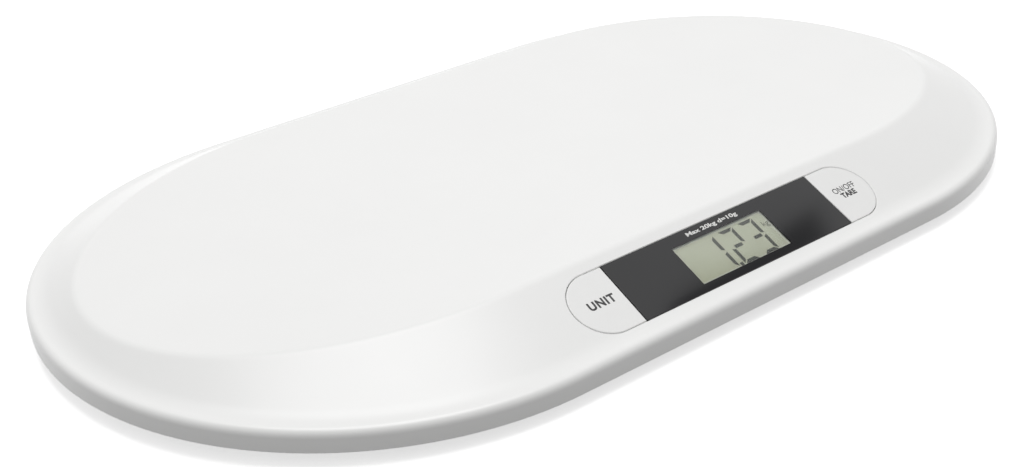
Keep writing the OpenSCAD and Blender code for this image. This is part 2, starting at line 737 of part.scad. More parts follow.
// ---- Buttons ----
module key(side) {
  color(WHITE) on_panel() {
    key_outline(side, -0.05, flange_z, 0);
    key_outline(side, flange_reach, flange_z, flange_top);
    translate([side * key_mid, end_r, dome_top + 0.05]) cylinder(h = flange_z - dome_top, r = stem_r);
  }
}
module dome(side) {
  color("#8c9096") on_panel() translate([side * key_mid, end_r, board_z])
    cylinder(h = dome_h, r1 = dome_r, r2 = stem_r + 0.4);
}
module unit_button() { key(-1); }
module tare_button() { key(1); }
module unit_dome() { dome(-1); }
module tare_dome() { dome(1); }

// ---- Load cells, clamps, feet and pads ----
module place(c) {
  translate([c.x * foot_x, c.y * foot_y, 0]) children();
}
tongue_l = load_l - 10;
module load_cell(c) {
  color(STEEL) place(c) translate([0, 0, load_z]) linear_extrude(load_t) difference() {
    square(load_l, center = true);
    difference() {
      square([tongue_w + 2 * slot_w, tongue_l], center = true);
      translate([0, -slot_w]) square([tongue_w, tongue_l], center = true);
    }
  }
}
gauge_v = -load_l / 2 + 4.6;
module strain_gauges() {
  color("ivory") for (c = CORNERS) place(c) translate([-3.5, gauge_v - 2, load_top]) cube([7, 4, 0.4]);
}
module cell_clamp(c) {
  color(INNER) place(c) difference() {
    translate([-block_far, -block_far, load_top]) cube([2 * block_far, 2 * block_far, clamp_t]);
    translate([-tongue_w / 2 - slot_w, -load_l / 2 + 2, load_top - CUT])
      cube([tongue_w + 2 * slot_w, load_l - 4, clamp_t + 2 * CUT]);
    for (s = [-1, 1]) translate([s * clamp_screw_off, s * clamp_screw_off, load_top - CUT])
      cylinder(h = clamp_t + 2 * CUT, r = small_r + screw_gap);
  }
}
foot_bottom = pad_t - pad_seat;
foot_flange_z = base_top + 0.3;
module foot(c) {
  color("gainsboro") place(c) difference() {
    union() {
      translate([0, 0, foot_bottom]) cylinder(h = foot_flange_z - foot_bottom, r = foot_r);
      translate([0, 0, foot_flange_z]) cylinder(h = foot_flange_t, r = foot_r + foot_flange);
      translate([0, 0, foot_flange_z]) cylinder(h = load_z - foot_flange_z, r = post_r);
    }
    translate([0, 0, foot_bottom - CUT]) cylinder(h = pad_seat + CUT, r = foot_r - pad_wall);
    rotate_extrude() translate([foot_r - 1, foot_bottom]) polygon([[0, -0.01], [1.01, -0.01], [1.01, 1]]);
  }
}
module pad(c) {
  color(RUBBER) place(c) cylinder(h = pad_t, r = foot_r - pad_wall - 0.1);
}
module load_cell_front_left() { load_cell(FRONT_LEFT); }
module load_cell_front_right() { load_cell(FRONT_RIGHT); }
module load_cell_rear_left() { load_cell(REAR_LEFT); }
module load_cell_rear_right() { load_cell(REAR_RIGHT); }
module cell_clamp_front_left() { cell_clamp(FRONT_LEFT); }
module cell_clamp_front_right() { cell_clamp(FRONT_RIGHT); }
module cell_clamp_rear_left() { cell_clamp(REAR_LEFT); }
module cell_clamp_rear_right() { cell_clamp(REAR_RIGHT); }
module foot_front_left() { foot(FRONT_LEFT); }
module foot_front_right() { foot(FRONT_RIGHT); }
module foot_rear_left() { foot(REAR_LEFT); }
module foot_rear_right() { foot(REAR_RIGHT); }
module pad_front_left() { pad(FRONT_LEFT); }
module pad_front_right() { pad(FRONT_RIGHT); }
module pad_rear_left() { pad(REAR_LEFT); }
module pad_rear_right() { pad(REAR_RIGHT); }

// ---- Battery bay ----
door_front = bay_y - bay_w / 2 + door_gap;
door_l = bay_l - 2 * door_gap;
module battery_door() {
  color(INNER) {
    translate([-door_l / 2, door_front, base_z]) cube([door_l, hinge_y - door_front, door_t]);
    translate([0, hinge_y, hinge_z]) rotate([0, 90, 0]) {
      cylinder(h = door_l, r = door_t / 2, center = true);
      cylinder(h = bay_l + 2 * hinge_l, r = hinge_r, center = true);
    }
    for (x = [-12, 12]) translate([x - 3, door_front + 1, door_top - 0.1]) cube([6, 1, 1.2]);
  }
}
NUB_L = 0.9;
NUB_R = 1.9;
// A cell along X with its positive end towards the given side
module battery(y, plus) {
  color("#b87333") translate([plus * spring_l / 2, y, battery_z]) rotate([0, plus * 90, 0]) {
    translate([0, 0, -battery_l / 2]) cylinder(h = battery_l - NUB_L, r = battery_d / 2);
    translate([0, 0, battery_l / 2 - NUB_L - 0.1]) cylinder(h = NUB_L + 0.1, r = NUB_R);
  }
}
module battery_front() { battery(bay_y - battery_pitch / 2, 1); }
module battery_rear() { battery(bay_y + battery_pitch / 2, -1); }

// Tube of radius r along the points of a path, with straight ends
function unit(v) = v / norm(v);
function tangent(p, i) = unit(p[min(i + 1, len(p) - 1)] - p[max(i - 1, 0)]);
function square_to(n, t) = unit(n - (n * t) * t);
function carried_normals(p) = [
  for (i = 0, n = square_to([0.3, 0.5, 0.8], tangent(p, 0)); i < len(p);
    i = i + 1, n = square_to(n, tangent(p, min(i, len(p) - 1)))) n
];
TUBE_SIDES = 8;
module tube(p, r) {
  normals = carried_normals(p);
  step = 360 / TUBE_SIDES;
  rings = [for (i = [0:len(p) - 1])
    let (t = tangent(p, i), u = square_to(normals[i], t), v = cross(t, u))
      [for (a = [0:TUBE_SIDES - 1]) p[i] + r * (cos(step * a) * u + sin(step * a) * v)]];
  pole_loft(rings, p[0], p[len(p) - 1]);
}
// Smooth curve through the points, with a few steps on each stretch
CURVE_STEPS = 4;
function curve_at(a, b, c, d, t) = (
  2 * b + (c - a) * t + (2 * a - 5 * b + 4 * c - d) * t * t + (3 * b - a - 3 * c + d) * t * t * t
) / 2;
function smooth(p) = concat(
  [for (i = [0:len(p) - 2], s = [0:CURVE_STEPS - 1])
    curve_at(p[max(i - 1, 0)], p[i], p[i + 1], p[min(i + 2, len(p) - 1)], s / CURVE_STEPS)],
  [p[len(p) - 1]]
);

SPRING_TURNS = 4;
SPRING_STEPS = 12;
SPRING_WIRE_R = 0.3;
// Cone spring from the contact plate at a bay end towards the cell
module battery_spring(y, side) {
  count = SPRING_TURNS * SPRING_STEPS;
  run = spring_l - 2 * SPRING_WIRE_R - 0.1;
  points = [for (i = [0:count]) let (
    q = i / count, a = 360 * SPRING_TURNS * q, r = battery_d / 2 - 1.65 - 1.2 * q
  ) [
    side * (bay_l / 2 - plate_t - 0.05 - SPRING_WIRE_R - run * q),
    y + side * r * cos(a),
    battery_z + r * sin(a),
  ]];
  tube(points, SPRING_WIRE_R);
}
module battery_springs() {
  color(STEEL) {
    battery_spring(bay_y - battery_pitch / 2, -1);
    battery_spring(bay_y + battery_pitch / 2, 1);
  }
}
plate_h = 8;
module contact_plates() {
  color(STEEL) translate([0, 0, battery_z - plate_h / 2]) {
    translate([bay_l / 2 - plate_t, bay_y - battery_pitch / 2 - plate_h / 2, 0])
      cube([plate_t, battery_pitch + plate_h, plate_h]);
    for (s = [-1, 1]) translate([-bay_l / 2, bay_y + s * battery_pitch / 2, 0]) {
      translate([0, -plate_h / 2, 0]) cube([plate_t, plate_h, plate_h]);
      translate([-bay_t - 2, -TAB_W / 2, tab_z - battery_z + plate_h / 2])
        cube([bay_t + 2 + plate_t / 2, TAB_W, plate_t]);
    }
  }
}

// ---- Leads: round numbers between the piece that each starts from and its header ----
LEAD_GAP = 0.2;
lead_floor = base_top + lead_d / 2 + LEAD_GAP;
feed_floor = base_top + feed_d / 2 + LEAD_GAP;
function header_entry(x, r) = [
  panel_point(x, header_v, under_board - header_h - 8),
  panel_point(x, header_v, under_board - header_h - 4),
  panel_point(x, header_v, under_board - header_h - 0.02),
];
// Start on top of a load cell's inner edge
clamp_lead_z = load_top + clamp_t + lead_d / 2 + LEAD_GAP;
function cell_exit(c) = [
  [c.x * (foot_x - load_l / 2 + 3.5), c.y * foot_y - load_l / 2 + 8, clamp_lead_z],
  [c.x * (foot_x - block_far - 2), c.y * foot_y - load_l / 2 + 8, clamp_lead_z],
  [c.x * (foot_x - block_far - 9), c.y * foot_y - load_l / 2 + 6, lead_floor + 1],
];
module front_lead(c, x) {
  tube(smooth(concat(cell_exit(c), [
    [c.x * (foot_x - 42), -foot_y - 11, lead_floor],
    [c.x * (foot_x - 72), panel_y + 42, lead_floor],
    [x + c.x * 6, panel_y + 44, lead_floor + 1],
  ], header_entry(x, lead_d / 2))), lead_d / 2);
}
module rear_lead(c, x) {
  tube(smooth(concat(cell_exit(c), [
    [c.x * (foot_x - 33), foot_y - 35, lead_floor],
    [c.x * (foot_x - 35), 0, lead_floor],
    [c.x * (foot_x - 37), 35 - foot_y, lead_floor],
    [c.x * (foot_x - 70), panel_y + 68, lead_floor],
    [c.x * (foot_x - 100), panel_y + 62, lead_floor],
    [x, panel_y + 50, lead_floor + 1],
  ], header_entry(x, lead_d / 2))), lead_d / 2);
}
module load_cell_leads() {
  color("firebrick") {
    front_lead(FRONT_LEFT, LEAD_X[0]);
    front_lead(FRONT_RIGHT, LEAD_X[1]);
    rear_lead(REAR_LEFT, LEAD_X[2]);
    rear_lead(REAR_RIGHT, LEAD_X[3]);
  }
}
module battery_lead(s) {
  x0 = -bay_l / 2 - bay_t;
  y0 = bay_y + s * battery_pitch / 2;
  z0 = tab_z + plate_t + feed_d / 2 + 0.02;
  tube(smooth(concat([
    [x0 - 0.8, y0, z0],
    [x0 - 4, y0, z0],
    [FEED_X - 6 - s * 3, y0 - 8, feed_floor + 1],
    [FEED_X - 6 - s * 3, 0, feed_floor],
    [FEED_X - 6 - s * 3, panel_y + 94, feed_floor],
    [FEED_X + s * -2, panel_y + 54, feed_floor + 1],
  ], header_entry(FEED_X + s * -2, feed_d / 2))), feed_d / 2);
}
module battery_leads() {
  color("#202020") for (s = [-1, 1]) battery_lead(s);
}

// ---- Screws ----
module case_screws() {
  color(STEEL) for (p = CASE_SCREWS) translate([p.x, p.y, base_z + 0.1]) {
    cylinder(h = screw_head_h, r = screw_head_r);
    cylinder(h = base_t - 0.1 + screw_grip, r = screw_r);
  }
}
module small_screw(l) {
  cylinder(h = small_head_h, r = small_head_r);
  translate([0, 0, -l]) cylinder(h = l + 0.1, r = small_r);
}
module clamp_screws() {
  color(STEEL) for (c = CORNERS, s = [-1, 1]) place(c)
    translate([s * clamp_screw_off, s * clamp_screw_off, load_top + clamp_t]) small_screw(clamp_t + 4);
}
module board_screws() {
  color(STEEL) on_panel() for (side = [-1, 1], v = board_screw_v)
    translate([side * board_screw_x, v, under_board]) rotate([180, 0, 0]) small_screw(board_t + 3);
}

top_tray();
base_shell();
panel_carrier();
display_window();
window_mask();
window_gasket();
lcd_cell();
lcd_film();
lcd_digits();
contact_strips();
main_board();
controller_blob();
board_parts();
wire_headers();
unit_button();
tare_button();
unit_dome();
tare_dome();
load_cell_front_left();
load_cell_front_right();
load_cell_rear_left();
load_cell_rear_right();
cell_clamp_front_left();
cell_clamp_front_right();
cell_clamp_rear_left();
cell_clamp_rear_right();
foot_front_left();
foot_front_right();
foot_rear_left();
foot_rear_right();
pad_front_left();
pad_front_right();
pad_rear_left();
pad_rear_right();
strain_gauges();
battery_door();
battery_front();
battery_rear();
battery_springs();
contact_plates();
load_cell_leads();
battery_leads();
case_screws();
clamp_screws();
board_screws();
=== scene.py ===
"""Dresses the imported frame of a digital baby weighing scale.

A long oval tray of glossy white ABS stands on four load-cell feet. A smoked window lies flush in the
front of its rim, between two round-ended push buttons. Sizes in the classes are in millimetres and
follow the frame's; everything that reaches Blender is in metres.
"""

import logging
import math
from contextlib import contextmanager
from dataclasses import dataclass
from enum import Enum
from typing import Callable, Iterator, Sequence

import bmesh
import bpy
from bpy.types import Material, Node, NodeSocket, NodeTree, Object
from mathutils import Matrix, Vector


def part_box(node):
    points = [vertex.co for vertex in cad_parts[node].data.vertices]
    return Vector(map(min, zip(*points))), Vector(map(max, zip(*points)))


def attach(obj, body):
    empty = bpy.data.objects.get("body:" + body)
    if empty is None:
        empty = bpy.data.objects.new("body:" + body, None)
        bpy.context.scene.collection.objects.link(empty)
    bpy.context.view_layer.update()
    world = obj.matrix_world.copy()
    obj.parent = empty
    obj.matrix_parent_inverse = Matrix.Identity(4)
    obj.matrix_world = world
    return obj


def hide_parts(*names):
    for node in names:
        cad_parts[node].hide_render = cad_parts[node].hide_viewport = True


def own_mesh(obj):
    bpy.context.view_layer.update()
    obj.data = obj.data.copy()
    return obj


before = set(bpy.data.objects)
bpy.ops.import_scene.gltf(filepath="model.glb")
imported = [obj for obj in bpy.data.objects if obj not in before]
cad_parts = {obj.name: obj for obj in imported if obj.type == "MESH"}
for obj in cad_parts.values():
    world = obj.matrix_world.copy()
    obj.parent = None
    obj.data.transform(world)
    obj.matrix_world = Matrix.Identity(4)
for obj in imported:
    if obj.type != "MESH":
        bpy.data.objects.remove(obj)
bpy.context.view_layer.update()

LOG = logging.getLogger("scale")
MM = 0.001
# Points nearer than this, in metres, are one point
SAME = 1e-6
# An edge that climbs less than this share of its length is level
LEVEL = 0.1
# A reach this much wider than a ring's widest point takes in all of the ring
SLACK = 1.001
CORNERS = {"front_left": (-1, -1), "front_right": (1, -1), "rear_left": (-1, 1), "rear_right": (1, 1)}
WHITE = (1.0, 1.0, 1.0, 1.0)
Colour = tuple[float, float, float, float]
Place = tuple[float, float, float]
Pair = tuple[float, float]
Test = Callable[[Vector, Vector], bool]


class Body(str, Enum):
    """The frame's bodies, by what they are."""

    HOUSING = "housing"
    UNIT_KEY = "unit_key"
    TARE_KEY = "tare_key"
    COVER = "battery_cover"


# ---------------------------------------------------------------- working by operator


def select_only(obj: Object) -> None:
    """Leave one object selected and active."""
    bpy.ops.object.select_all(action="DESELECT")
    obj.select_set(True)
    bpy.context.view_layer.objects.active = obj


@contextmanager
def editing(obj: Object, mode: str = "FACE") -> Iterator[None]:
    """Hold an object in edit mode with everything selected.

    Args:
        obj: The mesh object to edit.
        mode: VERT, EDGE or FACE selection.
    """
    select_only(obj)
    bpy.ops.object.mode_set(mode="EDIT")
    bpy.ops.mesh.select_mode(type=mode)
    bpy.ops.mesh.select_all(action="SELECT")
    yield
    bpy.ops.object.mode_set(mode="OBJECT")


def pick(obj: Object, kind: str, test: Test) -> None:
    """Select the faces, edges or vertices that pass a test, and nothing else.

    Args:
        obj: The object in edit mode.
        kind: faces, edges or verts.
        test: Called with the middle of each, and with its normal or the edge's direction.
    """
    bpy.ops.mesh.select_all(action="DESELECT")
    bm = bmesh.from_edit_mesh(obj.data)
    bm.normal_update()
    for part in getattr(bm, kind):
        if kind == "faces":
            middle, aim = part.calc_center_median(), part.normal
        elif kind == "edges":
            first, second = (vertex.co for vertex in part.verts)
            middle, aim = (first + second) / 2, (second - first).normalized()
        else:
            middle, aim = part.co, part.normal
        if test(middle, aim):
            part.select_set(True)
    bmesh.update_edit_mesh(obj.data)


def reshape(obj: Object, rule: Callable[[Vector], Sequence[float]]) -> None:
    """Move each selected vertex of the object in edit mode to where a rule puts it."""
    bm = bmesh.from_edit_mesh(obj.data)
    for vertex in bm.verts:
        if vertex.select:
            vertex.co = rule(vertex.co)
    bmesh.update_edit_mesh(obj.data)


def add_modifier(obj: Object, kind: str, **settings: object) -> None:
    """Add a modifier with its settings and apply it."""
    select_only(obj)
    modifier = obj.modifiers.new(kind.title(), kind)
    for key, value in settings.items():
        setattr(modifier, key, value)
    bpy.ops.object.modifier_apply(modifier=modifier.name)


def break_edges(obj: Object, width: float, angle: float) -> None:
    """Round every edge sharper than an angle in degrees, by a width in millimetres."""
    add_modifier(
        obj, "BEVEL", width=width * MM, segments=2, limit_method="ANGLE", angle_limit=math.radians(angle)
    )


def discard(obj: Object) -> None:
    """Delete an object that was only a tool or a model for copies."""
    bpy.data.objects.remove(obj, do_unlink=True)


def combine(obj: Object, tool: Object, operation: str) -> None:
    """Cut or join a solid with another, which is then deleted."""
    add_modifier(obj, "BOOLEAN", object=tool, operation=operation, solver="EXACT")
    discard(tool)


def smooth(obj: Object, angle: float = 32.0) -> None:
    """Shade smooth but for edges sharper than an angle in degrees, and keep broad faces flat."""
    select_only(obj)
    bpy.ops.object.shade_smooth_by_angle(angle=math.radians(angle))
    add_modifier(obj, "WEIGHTED_NORMAL", keep_sharp=True, weight=100)


def turn_outwards(obj: Object) -> None:
    """Merge doubles, then point every face outwards."""
    with editing(obj):
        bpy.ops.mesh.remove_doubles(threshold=SAME)
        bpy.ops.mesh.normals_make_consistent(inside=False)


def place_mesh(obj: Object, matrix: Matrix) -> Object:
    """Move a mesh to its place and leave its object at the origin."""
    obj.data.transform(matrix @ obj.matrix_basis)
    obj.matrix_basis = Matrix.Identity(4)
    return obj


def copy_mesh(obj: Object, matrix: Matrix) -> Object:
    """Copy an object with a mesh of its own, moved by a matrix."""
    twin = obj.copy()
    twin.data = obj.data.copy()
    bpy.context.scene.collection.objects.link(twin)
    return place_mesh(twin, matrix)


def repeat(model: Object, name: str, spots: Sequence[Pair]) -> Object:
    """Copy a model to each of some spots and join the copies.

    Args:
        model: What is copied. It is deleted afterwards.
        name: Name of the joined copies.
        spots: Where the copies go, in millimetres along and across the scale.

    Returns:
        The joined copies.
    """
    copies = [copy_mesh(model, Matrix.Translation((x * MM, y * MM, 0))) for x, y in spots]
    discard(model)
    bpy.ops.object.select_all(action="DESELECT")
    for twin in copies:
        twin.select_set(True)
    bpy.context.view_layer.objects.active = copies[0]
    bpy.ops.object.join()
    copies[0].name = name
    return copies[0]


def primitive(name: str) -> Object:
    """Name the primitive that was just added and give it back."""
    obj = bpy.context.active_object
    obj.name = name
    return obj


def turned(name: str, profile: Sequence[Pair], sides: int = 96) -> Object:
    """Turn a closed solid about Z from a circle that is extruded ring by ring.

    Args:
        name: Name of the new object.
        profile: Radius and height of each ring in millimetres, from one end to the other.
        sides: Vertices of each ring.

    Returns:
        The solid, with both of its ends filled.
    """
    radius, height = profile[0]
    bpy.ops.mesh.primitive_circle_add(
        vertices=sides, radius=radius * MM, location=(0, 0, 0), fill_type="NGON"
    )
    obj = primitive(name)
    with editing(obj, "EDGE"):
        bpy.ops.transform.translate(value=(0, 0, height * MM))
        for radius, height in profile[1:]:
            bpy.ops.mesh.extrude_region_move()
            reshape(obj, lambda co: (*(co.xy.normalized() * radius * MM), height * MM))
    turn_outwards(obj)
    return obj


# ---------------------------------------------------------------- nodes


def linear(code: str) -> Colour:
    """Turn an sRGB hex colour into the linear colour that the shaders use."""
    channels = [int(code[i : i + 2], 16) / 255 for i in (1, 3, 5)]
    lit = [c / 12.92 if c <= 0.04045 else ((c + 0.055) / 1.055) ** 2.4 for c in channels]
    return (*lit, 1.0)


def add_node(
    tree: NodeTree, kind: str, inputs: dict[str | int, object] | None = None, **settings: object
) -> Node:
    """Add a shader node with its settings and links.

    Args:
        tree: The material's or the world's node tree.
        kind: The node's type name without its ShaderNode start.
        inputs: Value, or linked socket, of each input by name or number.
        settings: The node's own properties.

    Returns:
        The new node.
    """
    made = tree.nodes.new("ShaderNode" + kind)
    for key, value in settings.items():
        setattr(made, key, value)
    for key, value in (inputs or {}).items():
        if isinstance(value, NodeSocket):
            tree.links.new(value, made.inputs[key])
        else:
            made.inputs[key].default_value = value
    return made


@dataclass(frozen=True)
class Mix:
    """A material in the making: its node tree, and the few steps that the finishes share."""

    material: Material
    tree: NodeTree

    @classmethod
    def named(cls, name: str) -> "Mix":
        """Start an empty node material."""
        material = bpy.data.materials.new(name)
        material.use_nodes = True
        material.node_tree.nodes.clear()
        return cls(material, material.node_tree)

    def node(self, kind: str, inputs: dict[str | int, object] | None = None, **settings: object) -> Node:
        """Add a node to the material."""
        return add_node(self.tree, kind, inputs, **settings)

    def where(self) -> NodeSocket:
        """Give the object's own coordinates."""
        return self.node("TexCoord").outputs["Object"]

    def noise(self, where: NodeSocket, size: float, detail: float = 2.0) -> NodeSocket:
        """Give noise whose pattern has a size in millimetres."""
        pattern = {"Vector": where, "Scale": 1 / (size * MM), "Detail": detail}
        return self.node("TexNoise", pattern).outputs["Fac"]

    def relief(self, height: NodeSocket, strength: float, depth: float) -> NodeSocket:
        """Give the normal of a relief whose depth is in millimetres."""
        bump = self.node("Bump", {"Height": height, "Strength": strength, "Distance": depth * MM})
        return bump.outputs["Normal"]

    def around(self, value: NodeSocket, middle: float, swing: float) -> NodeSocket:
        """Let a value from 0 to 1 swing a number about its middle."""
        spread = {"Value": value, "To Min": middle - swing, "To Max": middle + swing}
        return self.node("MapRange", spread).outputs["Result"]

    def fade(self, value: NodeSocket, start: float, end: float) -> NodeSocket:
        """Fall smoothly from 1 to 0 as a length goes from start to end, in millimetres."""
        limits = {"Value": value, "From Min": start * MM, "From Max": end * MM, "To Min": 1.0, "To Max": 0.0}
        return self.node("MapRange", limits, interpolation_type="SMOOTHSTEP").outputs["Result"]

    def tint(self, share: NodeSocket, first: object, second: object) -> NodeSocket:
        """Mix two colours by a share."""
        return self.node("MixRGB", {0: share, 1: first, 2: second}).outputs[0]

    def sum(self, operation: str, first: object, second: object = 0.0) -> NodeSocket:
        """Work out one sum, named by its operation."""
        return self.node("Math", {0: first, 1: second}, operation=operation).outputs[0]

    def along(self, where: NodeSocket, direction: Place) -> NodeSocket:
        """Give how far a point lies along a direction."""
        return self.node("VectorMath", {0: where, 1: direction}, operation="DOT_PRODUCT").outputs["Value"]

    def blend(self, share: NodeSocket, first: Node, second: Node) -> Node:
        """Mix two shaders by a share."""
        return self.node("MixShader", {0: share, 1: first.outputs[0], 2: second.outputs[0]})

    def done(self, shader: Node) -> Material:
        """Lay a shader on the surface and give the finished material."""
        self.node("OutputMaterial", {"Surface": shader.outputs[0]})
        return self.material


def direct_rays(tree: NodeTree) -> NodeSocket:
    """Give 1 for what the camera sees straight, mirrored or through a lens, and 0 for the rest."""
    path = add_node(tree, "LightPath")
    seen = {0: path.outputs["Is Camera Ray"], 1: path.outputs["Is Glossy Ray"]}
    direct = add_node(tree, "Math", seen, operation="MAXIMUM")
    through = {0: direct.outputs[0], 1: path.outputs["Is Transmission Ray"]}
    return add_node(tree, "Math", through, operation="MAXIMUM").outputs[0]


# ---------------------------------------------------------------- finishes


@dataclass(frozen=True)
class Moulded:
    """Injection-moulded plastic: one even colour, with the faint cloud and grain of its mould."""

    name: str
    colour: str
    cloud: str
    roughness: float
    grain_mm: float
    grain_depth_mm: float
    ior: float = 1.53
    roughness_swing: float = 0.04
    cloud_mm: float = 45.0
    grain_strength: float = 0.6

    def material(self) -> Material:
        """Build the material from its grain, its cloud and its gloss."""
        mix = Mix.named(self.name)
        where = mix.where()
        cloud = mix.noise(where, self.cloud_mm)
        grain = mix.noise(where, self.grain_mm, detail=3.0)
        skin = {
            "Base Color": mix.tint(cloud, linear(self.colour), linear(self.cloud)),
            "Roughness": mix.around(cloud, self.roughness, self.roughness_swing),
            "IOR": self.ior,
            "Normal": mix.relief(grain, self.grain_strength, self.grain_depth_mm),
        }
        return mix.done(mix.node("BsdfPrincipled", skin))


@dataclass(frozen=True)
class SmokedAcrylic:
    """Cast acrylic, polished and faintly smoked: clear, with a single glossy face."""

    name: str = "smoked_cast_acrylic"
    colour: str = "#E6E7E5"
    roughness: float = 0.09
    polish_swing: float = 0.3
    ior: float = 1.49
    haze_mm: float = 30.0

    def material(self) -> Material:
        """Build glass that lets the lamps through to what lies behind it."""
        mix = Mix.named(self.name)
        haze = mix.noise(mix.where(), self.haze_mm)
        skin = {
            "Base Color": linear(self.colour),
            "Roughness": mix.around(haze, self.roughness, self.roughness * self.polish_swing),
            "IOR": self.ior,
            "Transmission Weight": 1.0,
        }
        pane = mix.node("BsdfPrincipled", skin)
        clear = mix.node("BsdfTransparent", {"Color": linear(self.colour)})
        lamp = mix.node("LightPath").outputs["Is Shadow Ray"]
        return mix.done(mix.blend(lamp, pane, clear))


@dataclass(frozen=True)
class ReflectiveFilm:
    """The grey-green reflector behind a liquid-crystal cell, paler along its edges, with painted shade low
    down.
    """

    panel: "PanelPlace"
    half_u: float
    low_v: float
    high_v: float
    name: str = "grey_green_reflector_film"
    colour: str = "#B4B7A5"
    # Painted shade: a darker olive that the film fades to towards its lower left, where the window mirrors
    # less light
    painted_shade: str = "#A2A58D"
    fringe: str = "#C9CBC4"
    fringe_mm: float = 1.6
    painted_shade_way: Place = (0.35, 1.0, 0.0)
    painted_shade_from: float = -6.0
    painted_shade_to: float = 16.0
    grain_mm: float = 0.25
    grain_depth_mm: float = 0.02
    grain_strength: float = 0.2
    roughness: float = 0.45

    def material(self) -> Material:
        """Build the film from its place on the panel: darker with painted shade low down, pale along its
        edges.
        """
        mix = Mix.named(self.name)
        where = self.panel.coordinates(mix)
        parts = mix.node("SeparateXYZ", {"Vector": where})
        off_side = mix.sum("ABSOLUTE", parts.outputs["X"])
        off_middle = mix.sum("SUBTRACT", parts.outputs["Y"], (self.low_v + self.high_v) / 2 * MM)
        from_side = mix.sum("SUBTRACT", self.half_u * MM, off_side)
        half_v = (self.high_v - self.low_v) / 2 * MM
        from_end = mix.sum("SUBTRACT", half_v, mix.sum("ABSOLUTE", off_middle))
        pale_edge_share = mix.fade(mix.sum("MINIMUM", from_side, from_end), 0.0, self.fringe_mm)
        # Painted shade: the share of the darker olive, rising towards the lower left of the display
        painted_shade_share = mix.fade(mix.along(where, self.painted_shade_way), self.painted_shade_from, self.painted_shade_to)
        body = mix.tint(painted_shade_share, linear(self.colour), linear(self.painted_shade))
        grain = mix.noise(where, self.grain_mm)
        skin = {
            "Base Color": mix.tint(pale_edge_share, body, linear(self.fringe)),
            "Roughness": self.roughness,
            "Normal": mix.relief(grain, self.grain_strength, self.grain_depth_mm),
        }
        return mix.done(mix.node("BsdfPrincipled", skin))


@dataclass(frozen=True)
class Banded:
    """A material whose colour changes in even bands along one direction, with a fine grain."""

    name: str
    first: str
    second: str
    direction: Place
    band_mm: float
    roughness: float
    grain_mm: float = 0.4
    grain_depth_mm: float = 0.02
    grain_strength: float = 0.4

    def material(self) -> Material:
        """Build the material from a wave along its direction, half of it in each colour."""
        mix = Mix.named(self.name)
        where = mix.where()
        turns = mix.sum("MULTIPLY", mix.along(where, self.direction), 1 / (self.band_mm * MM))
        half_turn = 0.5
        step = mix.sum("GREATER_THAN", mix.sum("PINGPONG", turns, half_turn), half_turn / 2)
        grain = mix.noise(where, self.grain_mm)
        skin = {
            "Base Color": mix.tint(step, linear(self.first), linear(self.second)),
            "Roughness": self.roughness,
            "Normal": mix.relief(grain, self.grain_strength, self.grain_depth_mm),
        }
        return mix.done(mix.node("BsdfPrincipled", skin))


@dataclass(frozen=True)
class Plated:
    """Plated steel: metal with the fine lines of its rolling or drawing."""

    name: str
    colour: str
    roughness: float
    line_mm: float = 0.3
    line_depth_mm: float = 0.01
    line_strength: float = 0.3
    stretch: float = 12.0
    roughness_swing: float = 0.06

    def material(self) -> Material:
        """Build the metal from noise that is drawn out along one way."""
        mix = Mix.named(self.name)
        drawn = mix.node("Mapping", {"Vector": mix.where(), "Scale": (1.0, self.stretch, self.stretch)})
        lines = mix.noise(drawn.outputs[0], self.line_mm * self.stretch, detail=3.0)
        skin = {
            "Base Color": linear(self.colour),
            "Metallic": 1.0,
            "Roughness": mix.around(lines, self.roughness, self.roughness_swing),
            "Normal": mix.relief(lines, self.line_strength, self.line_depth_mm),
        }
        return mix.done(mix.node("BsdfPrincipled", skin))


Finish = Moulded | SmokedAcrylic | ReflectiveFilm | Banded | Plated

# Glossy ABS of the tray: a polished mould gives a soft, broad shine
TRAY_ABS = Moulded("glossy_white_abs", "#F4F4F3", "#F1F1F0", 0.34, 1.1, 0.004)
# Satin ABS of the buttons: finer polish than the tray, the same white
BUTTON_ABS = Moulded("satin_white_abs", "#F3F3F2", "#EFEFEE", 0.38, 0.7, 0.003, cloud_mm=12.0)
# Spark-eroded ABS of the base: an even, matt grain
BASE_ABS = Moulded("grained_white_abs", "#DEDEDC", "#D8D8D6", 0.58, 0.9, 0.03)
# Unpolished ABS of the inner frames
INNER_ABS = Moulded("inner_white_abs", "#D2D2CF", "#CACAC7", 0.62, 1.2, 0.02)
# Acrylic with the black print behind it: the two are bonded, and read as one deep glossy black
BACKED_ACRYLIC = Moulded(
    "black_backed_acrylic", "#2A2A2B", "#262628", 0.09, 2.0, 0.0002, ior=1.49, roughness_swing=0.01
)
# Screen-printed black behind the window: dense and matt
BLACK_PRINT = Moulded("screen_printed_black", "#1C1C1D", "#19191A", 0.6, 0.4, 0.001, ior=1.3)
# Screen-printed lettering ink, dark on the buttons and white on the window
DARK_INK = Moulded("printed_black_ink", "#1B1B1D", "#222224", 0.5, 0.3, 0.002, cloud_mm=2.0)
WHITE_INK = Moulded("printed_white_ink", "#E9E9E7", "#DDDDDB", 0.5, 0.3, 0.002, cloud_mm=2.0)
# Liquid-crystal strokes: a dark grey-green stain under glass
CRYSTAL_INK = Moulded("dark_liquid_crystal", "#20251F", "#282D27", 0.35, 0.5, 0.001, cloud_mm=4.0)
# Foam tape round the window: open, dark and matt
FOAM_TAPE = Moulded("black_foam_tape", "#2A2A2B", "#3A3A3B", 0.9, 0.35, 0.05, cloud_mm=1.5)
# Float glass of the cell, seen edge on
CELL_GLASS = Moulded("cell_glass", "#8C968F", "#99A39C", 0.12, 3.0, 0.001, ior=1.5)
# Glass-fibre board with green solder mask, whose copper shows as faint paths
SOLDER_MASK = Banded("green_solder_mask", "#1F5A32", "#2C6D3F", (1.0, 0.45, 0.2), 2.4, 0.38)
